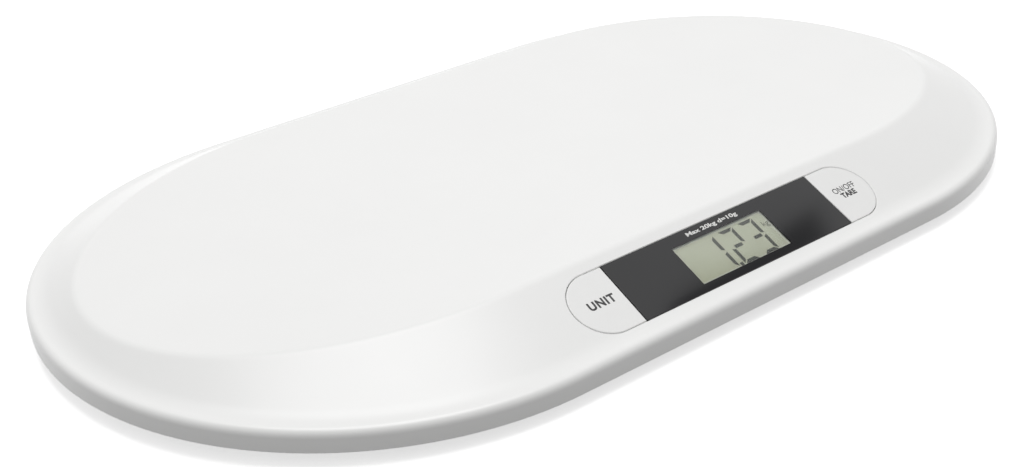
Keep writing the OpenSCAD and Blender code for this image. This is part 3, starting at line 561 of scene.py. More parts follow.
# Elastomer strips that carry the display's signals: dark and pale layers by turns
STRIP_RUBBER = Banded("layered_contact_rubber", "#2B2C2E", "#B9B5A8", (1.0, 0.0, 0.0), 0.9, 0.6)
# Epoxy drop over the chip: poured, so it is smooth and deep black
EPOXY = Moulded("poured_black_epoxy", "#0E0E0F", "#141415", 0.16, 5.0, 0.01, cloud_mm=6.0)
# Thermoset of the small components: dull black with a fine grain
CHIP_PLASTIC = Moulded("moulded_component_black", "#202022", "#2A2A2C", 0.55, 0.3, 0.01, cloud_mm=3.0)
# Natural nylon of the plug headers: cream, with a soft gloss
HEADER_NYLON = Moulded("natural_nylon", "#E4DFD0", "#DAD4C2", 0.48, 0.6, 0.01, cloud_mm=4.0)
# Silicone brushed over the strain gauges: ivory and a little uneven
GAUGE_COAT = Moulded("ivory_silicone_coat", "#E3DCC6", "#D5CDB4", 0.5, 0.8, 0.03, cloud_mm=3.0)
# Silicone domes: an even grey, slightly dusty
SILICONE = Moulded("grey_silicone", "#85888C", "#7B7E82", 0.66, 0.5, 0.01, cloud_mm=5.0)
# Rubber of the foot pads: matt with a fine moulded grain
PAD_RUBBER = Moulded("grey_foot_rubber", "#58595B", "#4E4F51", 0.82, 0.6, 0.05, cloud_mm=8.0)
# Shrink film of the cells: one plain copper brown, glossy
BATTERY_WRAP = Moulded("battery_shrink_wrap", "#7C4A22", "#6E411E", 0.3, 1.5, 0.01, cloud_mm=9.0)
# Soft PVC of the leads: an even satin
RED_LEAD = Moulded("red_pvc_insulation", "#A3201F", "#8F1B1B", 0.42, 0.8, 0.01, cloud_mm=7.0)
BLACK_LEAD = Moulded("black_pvc_insulation", "#1C1C1E", "#262628", 0.42, 0.8, 0.01, cloud_mm=7.0)
# Nickel on the load cells: warm, with the lines of rolled sheet
CELL_STEEL = Plated("nickel_plated_steel", "#C9C7C2", 0.3)
# Zinc on the screws: cooler, with finer lines
SCREW_STEEL = Plated("zinc_plated_steel", "#C4C6C9", 0.34, line_mm=0.15)
# Nickel on the spring strip of the battery contacts
CONTACT_STEEL = Plated("nickel_contact_strip", "#CFCDC8", 0.26, line_mm=0.2)


class Finishes:
    """Every finish of the scale, made once and kept by name."""

    def __init__(self) -> None:
        """Start with no material made."""
        self.made: dict[str, Material] = {}

    def get(self, finish: Finish) -> Material:
        """Give the finish's material, built on its first use."""
        if finish.name not in self.made:
            self.made[finish.name] = finish.material()
        return self.made[finish.name]

    def repaint(self, node: str, finish: Finish) -> None:
        """Give a CAD node that stays a better material."""
        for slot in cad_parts[node].material_slots:
            slot.material = self.get(finish)
        LOG.info("%s keeps its solid, finished in %s", node, finish.name)


def settle(
    obj: Object, body: Body, slot: str, material: Material, *nodes: str
) -> Object:
    """Give a piece its material and its body, and hide the nodes that it stands for.

    Args:
        obj: The finished piece.
        body: The body that it rides on.
        slot: The record's material slot; not used.
        material: The finish.
        nodes: CAD nodes that it replaces.

    Returns:
        The piece.
    """
    obj.data.materials.clear()
    obj.data.materials.append(material)
    for polygon in obj.data.polygons:
        polygon.material_index = 0
    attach(obj, body.value)
    if nodes:
        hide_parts(*nodes)
    LOG.info("%s: %d faces on %s", obj.name, len(obj.data.polygons), body.value)
    return obj


# ---------------------------------------------------------------- the tray


@dataclass
class Tray:
    """The upper shell: an upright wall, a rounded edge, a sloping rim and a shallow dish."""

    finishes: Finishes
    length: float = 550.0
    width: float = 330.0
    edge_z: float = 6.0
    edge_h: float = 10.1
    edge_r: float = 3.6
    lower_rise: float = 2.3
    upper_rise: float = 2.9
    skin: float = 2.35
    end_rim_w: float = 21.5
    rim_w: float = 47.0
    crest_inset: float = 3.0
    crest_h: float = 28.4
    crest_fall: float = 7.3
    crest_level: float = 70.0
    crest_round: float = 2.0
    dish_depth: float = 8.5
    cove: float = 4.6
    edge_break: float = 0.35
    break_angle: float = 60.0
    smooth_angle: float = 28.0
    boss_low: float = 9.1
    boss_high: float = 23.0
    boss_r: float = 4.0
    boss_hole_r: float = 1.5
    arc_steps: int = 84
    side_steps: int = 40
    dish_steps: int = 22
    round_steps: int = 8
    slope_steps: int = 8
    cove_steps: int = 8
    edge_steps: int = 10
    side_screw: Pair = (118.0, 98.0)
    end_screw: Pair = (226.0, 40.0)
    middle_screw_x: float = 95.0

    @property
    def straight(self) -> float:
        """Half the length of the wall's straight part."""
        return (self.length - self.width) / 2

    @property
    def crest_l(self) -> float:
        """Length of the crest line."""
        return self.length - 2 * self.end_rim_w

    @property
    def crest_w(self) -> float:
        """Width of the crest line."""
        return self.width - 2 * self.rim_w

    @property
    def case_screws(self) -> list[Pair]:
        """Places of the case screws: by the feet, near the ends and on the middle line."""
        at_corners = [
            (side * x, end * y) for x, y in (self.side_screw, self.end_screw) for side, end in CORNERS.values()
        ]
        return at_corners + [(side * self.middle_screw_x, 0.0) for side in (-1, 1)]

    @property
    def floor_z(self) -> float:
        """Height of the dish's middle."""
        return self.edge_z + self.crest_h - self.dish_depth

    def station(self, k: int) -> Pair:
        """Give the side from -1 to 1 and the angle of a station round the oval."""
        arc, side = self.arc_steps, self.side_steps
        if k <= arc:
            return 1.0, math.radians(-90 + 180 * k / arc)
        if k < arc + side:
            return 1 - 2 * (k - arc) / side, math.radians(90)
        if k <= 2 * arc + side:
            return -1.0, math.radians(90 + 180 * (k - arc - side) / arc)
        return -1 + 2 * (k - 2 * arc - side) / side, math.radians(270)

    def oval(self, k: int, half_l: float, half_w: float, straight: float) -> Vector:
        """Give the point of an oval at a station."""
        side, angle = self.station(k)
        return Vector((side * straight + (half_l - straight) * math.cos(angle), half_w * math.sin(angle)))

    def outer(self, k: int) -> Vector:
        """Give the wall's plan point at a station."""
        return self.oval(k, self.length / 2, self.width / 2, self.straight)

    def crest(self, k: int) -> Vector:
        """Give the crest's plan point at a station."""
        return self.oval(k, self.crest_l / 2, self.crest_w / 2, self.straight - self.crest_inset)

    def end_share(self, x: float) -> float:
        """Give how far along a round end a point lies, from 0 to 1."""
        return max(0.0, (abs(x) - self.straight) / (self.length / 2 - self.straight))

    def low_z(self, x: float) -> float:
        """Give the height of the wall's lower edge."""
        return self.edge_z + self.lower_rise * self.end_share(x) ** 2

    def edge_top_z(self, x: float) -> float:
        """Give the height of the top of the rounded edge."""
        return self.edge_z + self.edge_h + self.upper_rise * self.end_share(x) ** 2

    def crest_z(self, x: float) -> float:
        """Give the height of the crest."""
        share = max(0.0, (abs(x) - self.crest_level) / (self.crest_l / 2 - self.crest_level))
        return self.edge_z + self.crest_h - self.crest_fall * share**2

    def on_dish(self, k: int, q: float) -> Vector:
        """Give the dish's point a share q of the way from its middle to the crest."""
        crest = self.crest(k)
        return Vector((*(crest * q), self.floor_z + (self.crest_z(crest.x) - self.floor_z) * q * q))

    def on_rim(self, k: int, inward: float) -> Vector:
        """Give the rim's point at a distance inwards from the wall.

        Args:
            k: The station.
            inward: The distance in plan. The cove ends two coves' widths in from the rounded edge.

        Returns:
            The point, on the cove's parabola or on the straight slope.
        """
        outer, crest = self.outer(k), self.crest(k)
        run = (crest - outer).length
        slope = (self.crest_z(crest.x) - self.edge_top_z(outer.x)) / (run - self.edge_r - self.cove)
        if inward < self.edge_r + 2 * self.cove:
            climb = slope * (inward - self.edge_r) ** 2 / (4 * self.cove)
        else:
            climb = slope * (inward - self.edge_r - self.cove)
        return Vector((*(outer + (crest - outer) * inward / run), self.edge_top_z(outer.x) + climb))

    def section(self, k: int) -> list[Vector]:
        """Give the section at a station, from near the dish's middle to the wall's lower edge."""
        outer, crest = self.outer(k), self.crest(k)
        run = (crest - outer).length
        far, near = run - self.crest_round, self.edge_r + 2 * self.cove
        inner_share = 1 - self.crest_round / crest.length

        def shares(steps: int) -> list[float]:
            return [i / steps for i in range(1, steps + 1)]

        dish = [self.on_dish(k, inner_share * t) for t in shares(self.dish_steps)]
        start, end = dish[-1], self.on_rim(k, far)
        peak = Vector((*crest, self.crest_z(crest.x)))
        ridge = [
            start * (1 - t) ** 2 + peak * 2 * t * (1 - t) + end * t**2
            for t in shares(self.round_steps)[:-1]
        ]
        slope = [self.on_rim(k, far + (near - far) * t) for t in (0.0, *shares(self.slope_steps))]
        cove = [self.on_rim(k, near + (self.edge_r - near) * t) for t in shares(self.cove_steps)]
        edge = []
        for t in shares(self.edge_steps):
            angle = math.radians(90 * (1 - t))
            reach, fall = self.edge_r * (1 - math.cos(angle)), self.edge_r * (1 - math.sin(angle))
            plan = outer + (crest - outer) * reach / run
            edge.append(Vector((*plan, self.edge_top_z(outer.x) - fall)))
        low = Vector((*outer, self.low_z(outer.x)))
        wall = [Vector((*outer, (edge[-1].z + low.z) / 2)), low]
        return dish + ridge + slope + cove + edge + wall

    def build(self, panel: "PanelPlace") -> Object:
        """Draw the skin out ring by ring, give it its thickness and cut the panel's hole.

        Args:
            panel: Where the panel's hole lies.

        Returns:
            The tray.
        """
        count = 2 * (self.arc_steps + self.side_steps)
        sections = [self.section(k) for k in range(count)]
        bpy.ops.mesh.primitive_circle_add(
            vertices=count, radius=self.crest_w * MM / 2, location=(0, 0, 0), fill_type="NOTHING"
        )
        tray = primitive("tray_shell")
        mark = tray.data.attributes.new("station", "INT", "POINT")
        mark.data.foreach_set("value", list(range(count)))
        with editing(tray, "VERT"):
            self.lay_ring(tray, sections, 0)
            for ring in range(1, len(sections[0])):
                bpy.ops.mesh.extrude_edges_move()
                self.lay_ring(tray, sections, ring)
            self.close_middle(tray, sections)
        turn_outwards(tray)
        self.face_upwards(tray)
        add_modifier(tray, "SOLIDIFY", thickness=self.skin * MM, offset=-1.0, use_even_offset=True)
        break_edges(tray, self.edge_break, self.break_angle)
        combine(tray, self.bosses(), "UNION")
        panel.cut_hole(tray)
        turn_outwards(tray)
        smooth(tray, self.smooth_angle)
        return settle(tray, Body.HOUSING, "tray_abs", self.finishes.get(TRAY_ABS), "top_tray")

    def lay_ring(self, tray: Object, sections: list[list[Vector]], ring: int) -> None:
        """Lay the selected ring of vertices on the tray's sections."""
        bm = bmesh.from_edit_mesh(tray.data)
        layer = bm.verts.layers.int["station"]
        for vertex in bm.verts:
            if vertex.select:
                vertex.co = sections[vertex[layer]][ring] * MM
        bmesh.update_edit_mesh(tray.data)

    def close_middle(self, tray: Object, sections: list[list[Vector]]) -> None:
        """Draw the vertices next to the dish's middle together into one."""
        widest = max(section[0].xy.length for section in sections) * SLACK * MM
        pick(tray, "verts", lambda middle, _: math.hypot(middle.x, middle.y) < widest)
        bpy.ops.mesh.merge(type="CENTER")
        reshape(tray, lambda _: (0, 0, self.floor_z * MM))

    def face_upwards(self, tray: Object) -> None:
        """Turn the open skin's faces so that the dish looks up."""
        if sum(face.normal.z * face.area for face in tray.data.polygons) < 0:
            with editing(tray):
                bpy.ops.mesh.flip_normals()

    def bosses(self) -> Object:
        """Model one screw boss under the skin and copy it to every case screw."""
        profile = [
            (self.boss_hole_r, self.boss_low), (self.boss_r, self.boss_low), (self.boss_r, self.boss_high),
        ]
        return repeat(turned("boss", profile, sides=32), "bosses", self.case_screws)


# ---------------------------------------------------------------- the panel


@dataclass
class PanelPlace:
    """Where the panel lies on the front rim, and the shape of its hole."""

    y: float = -154.0
    z: float = 17.4206
    tilt: float = math.atan(18.3 / 38.8)
    length: float = 185.0
    width: float = 32.8
    window_l: float = 129.6
    seam: float = 0.35
    gap: float = 0.25
    lip: float = 0.35
    cut_low: float = -8.0
    cut_high: float = 4.0
    sides: int = 256

    @property
    def end_r(self) -> float:
        """Radius of each round end."""
        return self.width / 2

    @property
    def matrix(self) -> Matrix:
        """Carry the panel's own frame into the scale's."""
        return Matrix.Translation((0, self.y * MM, self.z * MM)) @ Matrix.Rotation(self.tilt, 4, "X")

    @property
    def upwards(self) -> Vector:
        """Direction square to the panel."""
        return self.matrix.to_3x3() @ Vector((0, 0, 1))

    def button_x(self, side: int) -> float:
        """Give the middle of a button along the panel."""
        return side * (self.window_l / 2 + self.seam + self.length / 2) / 2

    def thickness(self, node: str) -> float:
        """Measure a flat node's thickness square to the panel."""
        heights = [self.upwards.dot(v.co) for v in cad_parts[node].data.vertices]
        return (max(heights) - min(heights)) / MM

    def coordinates(self, mix: Mix) -> NodeSocket:
        """Give object coordinates turned into the panel's own frame."""
        start, turn = (0, self.y * MM, self.z * MM), (self.tilt, 0, 0)
        moved = {"Vector": mix.where(), "Location": start, "Rotation": turn}
        return mix.node("Mapping", moved, vector_type="TEXTURE").outputs[0]

    def pill(self, name: str, grow: float, low: float, high: float, flare: float = 0.0) -> Object:
        """Model a pill-shaped block from a circle whose halves are drawn apart.

        Args:
            name: Name of the new object.
            grow: Growth of the outline in millimetres.
            low: Height of its lower face in the panel's frame.
            high: Height of its upper face.
            flare: Further growth of the upper face.

        Returns:
            The block, in the panel's own frame.
        """
        radius = self.end_r + grow
        bpy.ops.mesh.primitive_circle_add(
            vertices=self.sides, radius=radius * MM, location=(0, 0, 0), fill_type="NGON"
        )
        block = primitive(name)
        reach = (self.length / 2 - self.end_r) * MM
        wider = (radius + flare) / radius

        def drawn_apart(co: Vector) -> Place:
            side = 0.0 if abs(co.x) < SAME else math.copysign(1, co.x)
            return co.x + side * reach, co.y + self.end_r * MM, co.z

        with editing(block):
            bpy.ops.transform.translate(value=(0, 0, low * MM))
            bpy.ops.mesh.extrude_region_move(TRANSFORM_OT_translate={"value": (0, 0, (high - low) * MM)})
            reshape(block, lambda co: (co.x * wider, co.y * wider, co.z))
            bpy.ops.mesh.select_all(action="SELECT")
            reshape(block, drawn_apart)
        turn_outwards(block)
        return block

    def cut_hole(self, tray: Object) -> None:
        """Cut the panel's hole through the tray's skin, then break its edge with a flared cutter."""
        hole = self.pill("hole", self.gap, self.cut_low, self.cut_high)
        lip = self.pill("hole_lip", self.gap, -self.lip, self.cut_high, flare=self.cut_high + self.lip)
        for cutter in (hole, lip):
            combine(tray, place_mesh(cutter, self.matrix), "DIFFERENCE")


@dataclass(frozen=True)
class Push:
    """One push button: its side, its body, its joint and its nodes."""

    side: int
    body: Body
    joint: str
    button: str
    dome: str


UNIT = Push(-1, Body.UNIT_KEY, "unit_press", "unit_button", "unit_dome")
TARE = Push(1, Body.TARE_KEY, "tare_press", "tare_button", "tare_dome")


@dataclass
class Keys:
    """The two push buttons: a flush cap, a retaining flange under the rim and a post."""

    panel: PanelPlace
    finishes: Finishes
    clearance: float = 0.05
    flange_top: float = -2.502
    flange_low: float = -3.402
    flange_reach: float = 1.0
    post_r: float = 3.0
    post_low: float = -5.15
    post_high: float = -3.0
    post_break: float = 0.3
    edge_r: float = 0.45
    edge_steps: int = 4

    def build(self, push: Push) -> Object:
        """Model one button.

        Args:
            push: Which of the two it is.

        Returns:
            The button.
        """
        cap = self.half(push.side, -self.clearance, self.flange_low, 0.0)
        with editing(cap, "EDGE"):
            pick(cap, "edges", lambda middle, along: middle.z > -SAME and abs(along.z) < LEVEL)
            bpy.ops.mesh.bevel(offset=self.edge_r * MM, segments=self.edge_steps, profile=0.5)
        combine(cap, self.half(push.side, self.flange_reach, self.flange_low, self.flange_top), "UNION")
        profile = [
            (self.post_r - self.post_break, self.post_low), (self.post_r, self.post_low + self.post_break),
            (self.post_r, self.post_high),
        ]
        foot = Vector((self.panel.button_x(push.side), self.panel.end_r, 0)) * MM
        post = place_mesh(turned("post", profile, sides=48), Matrix.Translation(foot))
        combine(cap, post, "UNION")
        place_mesh(cap, self.panel.matrix)
        turn_outwards(cap)
        smooth(cap)
        cap.name = push.button + "_cap"
        return settle(cap, push.body, "button_abs", self.finishes.get(BUTTON_ABS), push.button)

    def half(self, side: int, grow: float, low: float, high: float) -> Object:
        """Model one end of the pill, cut square beside the window and back by any clearance."""
        block = self.panel.pill("key", grow, low, high)
        cut = side * (self.panel.window_l / 2 + self.panel.seam + max(0.0, -grow)) * MM
        with editing(block):
            bpy.ops.mesh.bisect(
                plane_co=(cut, 0, 0), plane_no=(1, 0, 0), use_fill=True,
                clear_inner=side > 0, clear_outer=side < 0,
            )
        return block


@dataclass
class Domes:
    """The silicone domes on the board, which flatten under the buttons."""

    panel: PanelPlace
    finishes: Finishes
    board_z: float = -8.0
    solid_h: float = 1.9
    travel: float = 0.9
    smooth_angle: float = 40.0
    profile: tuple[Pair, ...] = (
        (5.5, 0.0), (5.1, 0.4), (4.7, 0.55), (3.8, 1.95), (3.4, 2.2), (3.4, 2.65), (3.2, 2.8),
    )

    def build(self, push: Push) -> Object:
        """Turn one dome and stand it on the board.

        Args:
            push: The button above it.

        Returns:
            The dome.
        """
        dome = turned(push.dome + "_turned", self.profile, sides=64)
        foot = Vector((self.panel.button_x(push.side), self.panel.end_r, self.board_z)) * MM
        place_mesh(dome, self.panel.matrix @ Matrix.Translation(foot))
        smooth(dome, self.smooth_angle)
        settle(dome, Body.HOUSING, "silicone_grey", self.finishes.get(SILICONE), push.dome)
        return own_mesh(dome)


@dataclass
class Window:
    """The smoked window with its print, and the display behind it."""

    panel: PanelPlace
    finishes: Finishes
    overlap: float = 0.02
    edge_r: float = 0.14
    edge_steps: int = 3
    view_l: float = 56.0
    view_low: float = 3.9
    view_high: float = 26.4

    def build_lens(self) -> Object:
        """Model the lens: a plate with broken upper edges, black where it is printed from behind."""
        low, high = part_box("display_window")
        thickness = self.panel.thickness("display_window") + self.overlap
        bpy.ops.mesh.primitive_cube_add(size=1.0, location=(0, 0, 0))
        lens = primitive("window_lens")
        lens.data.transform(
            Matrix.Translation((0, self.panel.end_r * MM, -thickness * MM / 2))
            @ Matrix.Diagonal((high.x - low.x, self.panel.width * MM, thickness * MM, 1))
        )
        with editing(lens, "EDGE"):
            pick(lens, "edges", lambda middle, _: middle.z > -SAME)
            bpy.ops.mesh.bevel(offset=self.edge_r * MM, segments=self.edge_steps, profile=0.5)
            for place, square in self.view_sides():
                bpy.ops.mesh.select_all(action="SELECT")
                bpy.ops.mesh.bisect(plane_co=place, plane_no=square)
        turn_outwards(lens)
        smooth(lens)
        settle(lens, Body.HOUSING, "window_acrylic", self.finishes.get(SmokedAcrylic()), "display_window")
        lens.data.materials.append(self.finishes.get(BACKED_ACRYLIC))
        for polygon in lens.data.polygons:
            polygon.material_index = 0 if self.is_clear(polygon.center) else 1
        return place_mesh(lens, self.panel.matrix)

    def view_sides(self) -> list[tuple[Vector, Vector]]:
        """Give a point on, and the direction square to, each side of the clear part."""
        across, upwards = Vector((1, 0, 0)), Vector((0, 1, 0))
        return [
            (across * self.view_l / 2 * MM, across), (across * -self.view_l / 2 * MM, across),
            (upwards * self.view_low * MM, upwards), (upwards * self.view_high * MM, upwards),
        ]

    def is_clear(self, middle: Vector) -> bool:
        """Tell whether a face of the lens lies over the display."""
        return abs(middle.x) < self.view_l / 2 * MM and self.view_low * MM < middle.y < self.view_high * MM

    def dress_display(self) -> None:
        """Finish the print, the tape and the display's own layers."""
        film = ReflectiveFilm(self.panel, self.view_l / 2, self.view_low, self.view_high)
        layers = {
            "lcd_film": film, "window_mask": BLACK_PRINT, "window_gasket": FOAM_TAPE,
            "lcd_cell": CELL_GLASS, "lcd_digits": CRYSTAL_INK, "contact_strips": STRIP_RUBBER,
        }
        for node, finish in layers.items():
            self.finishes.repaint(node, finish)


@dataclass(frozen=True)
class Word:
    """A printed word and the rectangle that it fills on the panel."""

    name: str
    text: str
    left: float
    right: float
    low: float
    high: float
    body: Body = Body.HOUSING
    slot: str = "black_print"
    finish: Moulded = DARK_INK
    height: float = 0.0
    weight: float = 0.0
    spacing: float = 1.0


WORDS = (
    Word("unit_word", "UNIT", -84.2, -69.7, 14.5, 19.0, Body.UNIT_KEY, weight=0.04, spacing=1.15),
    Word("on_off_word", "ON/OFF", 71.0, 85.5, 16.7, 20.0, Body.TARE_KEY, weight=0.006),
    Word("tare_word", "TARE", 73.3, 82.8, 12.9, 16.1, Body.TARE_KEY, weight=0.045),
    Word("range_line", "Max 20kg d=10g", -16.0, 15.7, 27.9, 30.8, finish=WHITE_INK, weight=0.03),
    Word("kg_mark", "kg", 23.6, 27.4, 16.8, 20.6, slot="lcd_digit", finish=CRYSTAL_INK, height=-1.55),
)


@dataclass
class Lettering:
    """Printed words: what each button does, the scale's range and the unit."""

    panel: PanelPlace
    finishes: Finishes
    depth: float = 0.02
    curve_steps: int = 6

    def build(self, word: Word) -> Object:
        """Set a word one unit thick, turn it into a mesh and fit it into its place.

        Args:
            word: The text, its rectangle and its ink.

        Returns:
            The word.
        """
        bpy.ops.object.text_add(location=(0, 0, 0))
        obj = primitive(word.name)
        obj.data.body = word.text
        obj.data.extrude = 1 / 2
        obj.data.offset = word.weight
        obj.data.space_character = word.spacing
        obj.data.resolution_u = self.curve_steps
        bpy.ops.object.convert(target="MESH")
        obj = bpy.context.active_object
        xs = [v.co.x for v in obj.data.vertices]
        ys = [v.co.y for v in obj.data.vertices]
        across = (word.right - word.left) / (max(xs) - min(xs))
        upwards = (word.high - word.low) / (max(ys) - min(ys))
        fit = (
            Matrix.Translation((word.left * MM, word.low * MM, (word.height + self.depth / 2) * MM))
            @ Matrix.Diagonal((across * MM, upwards * MM, self.depth * MM, 1))
            @ Matrix.Translation((-min(xs), -min(ys), 0))
        )
        place_mesh(obj, self.panel.matrix @ fit)
        turn_outwards(obj)
        return settle(obj, word.body, word.slot, self.finishes.get(word.finish))


# ---------------------------------------------------------------- the underside


@dataclass
class Feet:
    """Four round feet with ribbed rubber pads."""

    finishes: Finishes
    x: float = 180.0
    y: float = 95.0
    foot_r: float = 17.0
    foot_low: float = 0.8
    foot_round: float = 1.0
    bulge: Pair = (0.35, 0.25)
    rim_w: float = 1.6
    edge: float = 0.2
    flange_r: float = 20.3
    flange_low: float = 9.4
    flange_high: float = 10.6
    post_r: float = 5.0
    post_high: float = 12.6
    fillet: float = 0.6
    pad_r: float = 15.3
    pad_high: float = 2.0
    pad_break: float = 0.4
    dimple: tuple[Pair, ...] = ((1.6, 0.9), (2.6, 0.9), (2.6, 0.0))
    groove_places: tuple[float, ...] = (5.0, 8.4, 11.8)
    groove_w: float = 1.0
    groove_depth: float = 0.6

    def foot(self) -> Object:
        """Turn one foot: a rim round the pad, a wall, a flange that stays inside and a post."""
        wall, flange, post = self.foot_r, self.flange_r, self.post_r
        low, under, over = self.foot_low, self.flange_low, self.flange_high
        profile = [
            (self.pad_r, self.pad_high), (wall - self.rim_w, low + self.edge),
            (wall - self.rim_w + self.edge, low), (wall - self.foot_round, low),
            (wall - self.bulge[0], low + self.bulge[1]), (wall, low + self.foot_round),
            (wall, under), (flange - self.edge, under), (flange, under + self.edge),
            (flange, over - self.edge), (flange - self.edge, over), (post + self.fillet, over),
            (post, over + self.fillet), (post, self.post_high),
        ]
        return turned("foot", profile)

    def pad(self) -> Object:
        """Turn one pad, with a dimple and three round grooves in its sole."""
        depth = self.groove_depth
        grooves = [
            ring for r in self.groove_places
            for ring in ((r, 0.0), (r, depth), (r + self.groove_w, depth), (r + self.groove_w, 0.0))
        ]
        rim = [(self.pad_r - self.pad_break, 0.0), (self.pad_r, self.pad_break), (self.pad_r, self.pad_high)]
        return turned("pad", [*self.dimple, *grooves, *rim])

    def build(self) -> None:
        """Model one foot and one pad and copy them to the corners."""
        foot, pad = self.foot(), self.pad()
        for model in (foot, pad):
            smooth(model)
        for corner, (side, end) in CORNERS.items():
            place = Matrix.Translation((side * self.x * MM, end * self.y * MM, 0))
            self.finish(copy_mesh(foot, place), "foot_" + corner, "foot_abs", BASE_ABS)
            self.finish(copy_mesh(pad, place), "pad_" + corner, "pad_rubber", PAD_RUBBER)
        for model in (foot, pad):
            discard(model)

    def finish(self, obj: Object, node: str, slot: str, finish: Moulded) -> None:
        """Name one copy and settle it in its node's stead."""
        obj.name = node + "_turned"
        settle(obj, Body.HOUSING, slot, self.finishes.get(finish), node)


@dataclass
class CaseScrews:
    """Cross-head screws that hold the base to the tray."""

    finishes: Finishes
    places: Sequence[Pair]
    head_low: float = 6.7
    head_r: float = 2.9
    head_h: float = 1.2
    head_dome: tuple[Pair, ...] = ((0.5, 0.0), (0.12, 0.16), (0.0, 0.5))
    middle_r: float = 0.4
    shank_r: float = 1.45
    shank_high: float = 17.1
    tip_h: float = 1.0
    tip_r: float = 0.3
    cross_l: float = 3.4
    cross_w: float = 0.7
    cross_h: float = 1.1
    cross_lift: float = 0.25
    cross_taper: Pair = (0.55, 0.7)

    def build(self) -> Object:
        """Model one screw with its cross recess and copy it."""
        under = self.head_low + self.head_h
        head = [(self.head_r - inset, self.head_low + lift) for inset, lift in self.head_dome]
        shank = [(self.shank_r, under), (self.shank_r, self.shank_high - self.tip_h)]
        middle, tip = (self.middle_r, self.head_low), (self.tip_r, self.shank_high)
        profile = [middle, *head, (self.head_r, under), *shank, tip]
        screw = turned("screw", profile, sides=48)
        combine(screw, self.cross(), "DIFFERENCE")
        smooth(screw)
        piece = repeat(screw, "case_screws_cross_head", self.places)
        return settle(piece, Body.HOUSING, "screw_steel", self.finishes.get(SCREW_STEEL), "case_screws")

    def cross(self) -> Object:
        """Model the driver's cross from one tapered bar and its turned copy."""
        bpy.ops.mesh.primitive_cube_add(size=1.0, location=(0, 0, 0))
        bar = primitive("bar")
        narrow, thin = self.cross_taper
        with editing(bar):
            pick(bar, "faces", lambda _, normal: normal.z > SAME)
            reshape(bar, lambda co: (co.x * narrow, co.y * thin, co.z))
        bar.data.transform(
            Matrix.Translation((0, 0, (self.head_low + self.cross_lift) * MM))
            @ Matrix.Diagonal((self.cross_l * MM, self.cross_w * MM, self.cross_h * MM, 1))
        )
        other = copy_mesh(bar, Matrix.Rotation(math.radians(90), 4, "Z"))
        combine(bar, other, "UNION")
        return bar


@dataclass(frozen=True)
class Carried:
    """A node whose own solid is copied, merged, bevelled and refinished."""

    node: str
    slot: str
    finish: Finish
    edge: float
    body: Body = Body.HOUSING


@dataclass
class Workings:
    """Everything else: the base, the door, the load cells, the board and its leads."""

    finishes: Finishes
    flat_angle: float = 0.5
    edge_angle: float = 40.0
    carried: tuple[Carried, ...] = (
        Carried("base_shell", "base_abs", BASE_ABS, 0.25),
        Carried("battery_door", "base_abs", BASE_ABS, 0.25, Body.COVER),
        Carried("panel_carrier", "carrier_abs", INNER_ABS, 0.1),
        Carried("main_board", "board_fr4", SOLDER_MASK, 0.08),
        Carried("board_parts", "board_part", CHIP_PLASTIC, 0.1),
        Carried("wire_headers", "header_nylon", HEADER_NYLON, 0.15),
        Carried("strain_gauges", "gauge_coat", GAUGE_COAT, 0.15),
        Carried("contact_plates", "contact_steel", CONTACT_STEEL, 0.05),
        Carried("battery_front", "battery_wrap", BATTERY_WRAP, 0.3),
        Carried("battery_rear", "battery_wrap", BATTERY_WRAP, 0.3),
        Carried("clamp_screws", "screw_steel", SCREW_STEEL, 0.12),
        Carried("board_screws", "screw_steel", SCREW_STEEL, 0.12),
        *(Carried("load_cell_" + corner, "cell_steel", CELL_STEEL, 0.1) for corner in CORNERS),
        *(Carried("cell_clamp_" + corner, "clamp_abs", INNER_ABS, 0.2) for corner in CORNERS),
    )
    kept: tuple[tuple[str, Finish], ...] = (
        ("controller_blob", EPOXY), ("battery_springs", CONTACT_STEEL),
        ("load_cell_leads", RED_LEAD), ("battery_leads", BLACK_LEAD),
    )

    def build(self) -> None:
        """Refinish every carried node, and repaint those that stay."""
        for item in self.carried:
            self.carry(item)
        for node, finish in self.kept:
            self.finishes.repaint(node, finish)

    def carry(self, item: Carried) -> Object:
        """Copy a node's mesh, merge it, break its edges and finish it."""
        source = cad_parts[item.node]
        piece = bpy.data.objects.new(item.node + "_finished", source.data.copy())
        bpy.context.scene.collection.objects.link(piece)
        select_only(piece)
        bpy.ops.mesh.customdata_custom_splitnormals_clear()
        with editing(piece):
            bpy.ops.mesh.remove_doubles(threshold=SAME)
            bpy.ops.mesh.dissolve_limited(angle_limit=math.radians(self.flat_angle))
        break_edges(piece, item.edge, self.edge_angle)
        smooth(piece)
        return settle(piece, item.body, item.slot, self.finishes.get(item.finish), item.node)


# ---------------------------------------------------------------- the studio


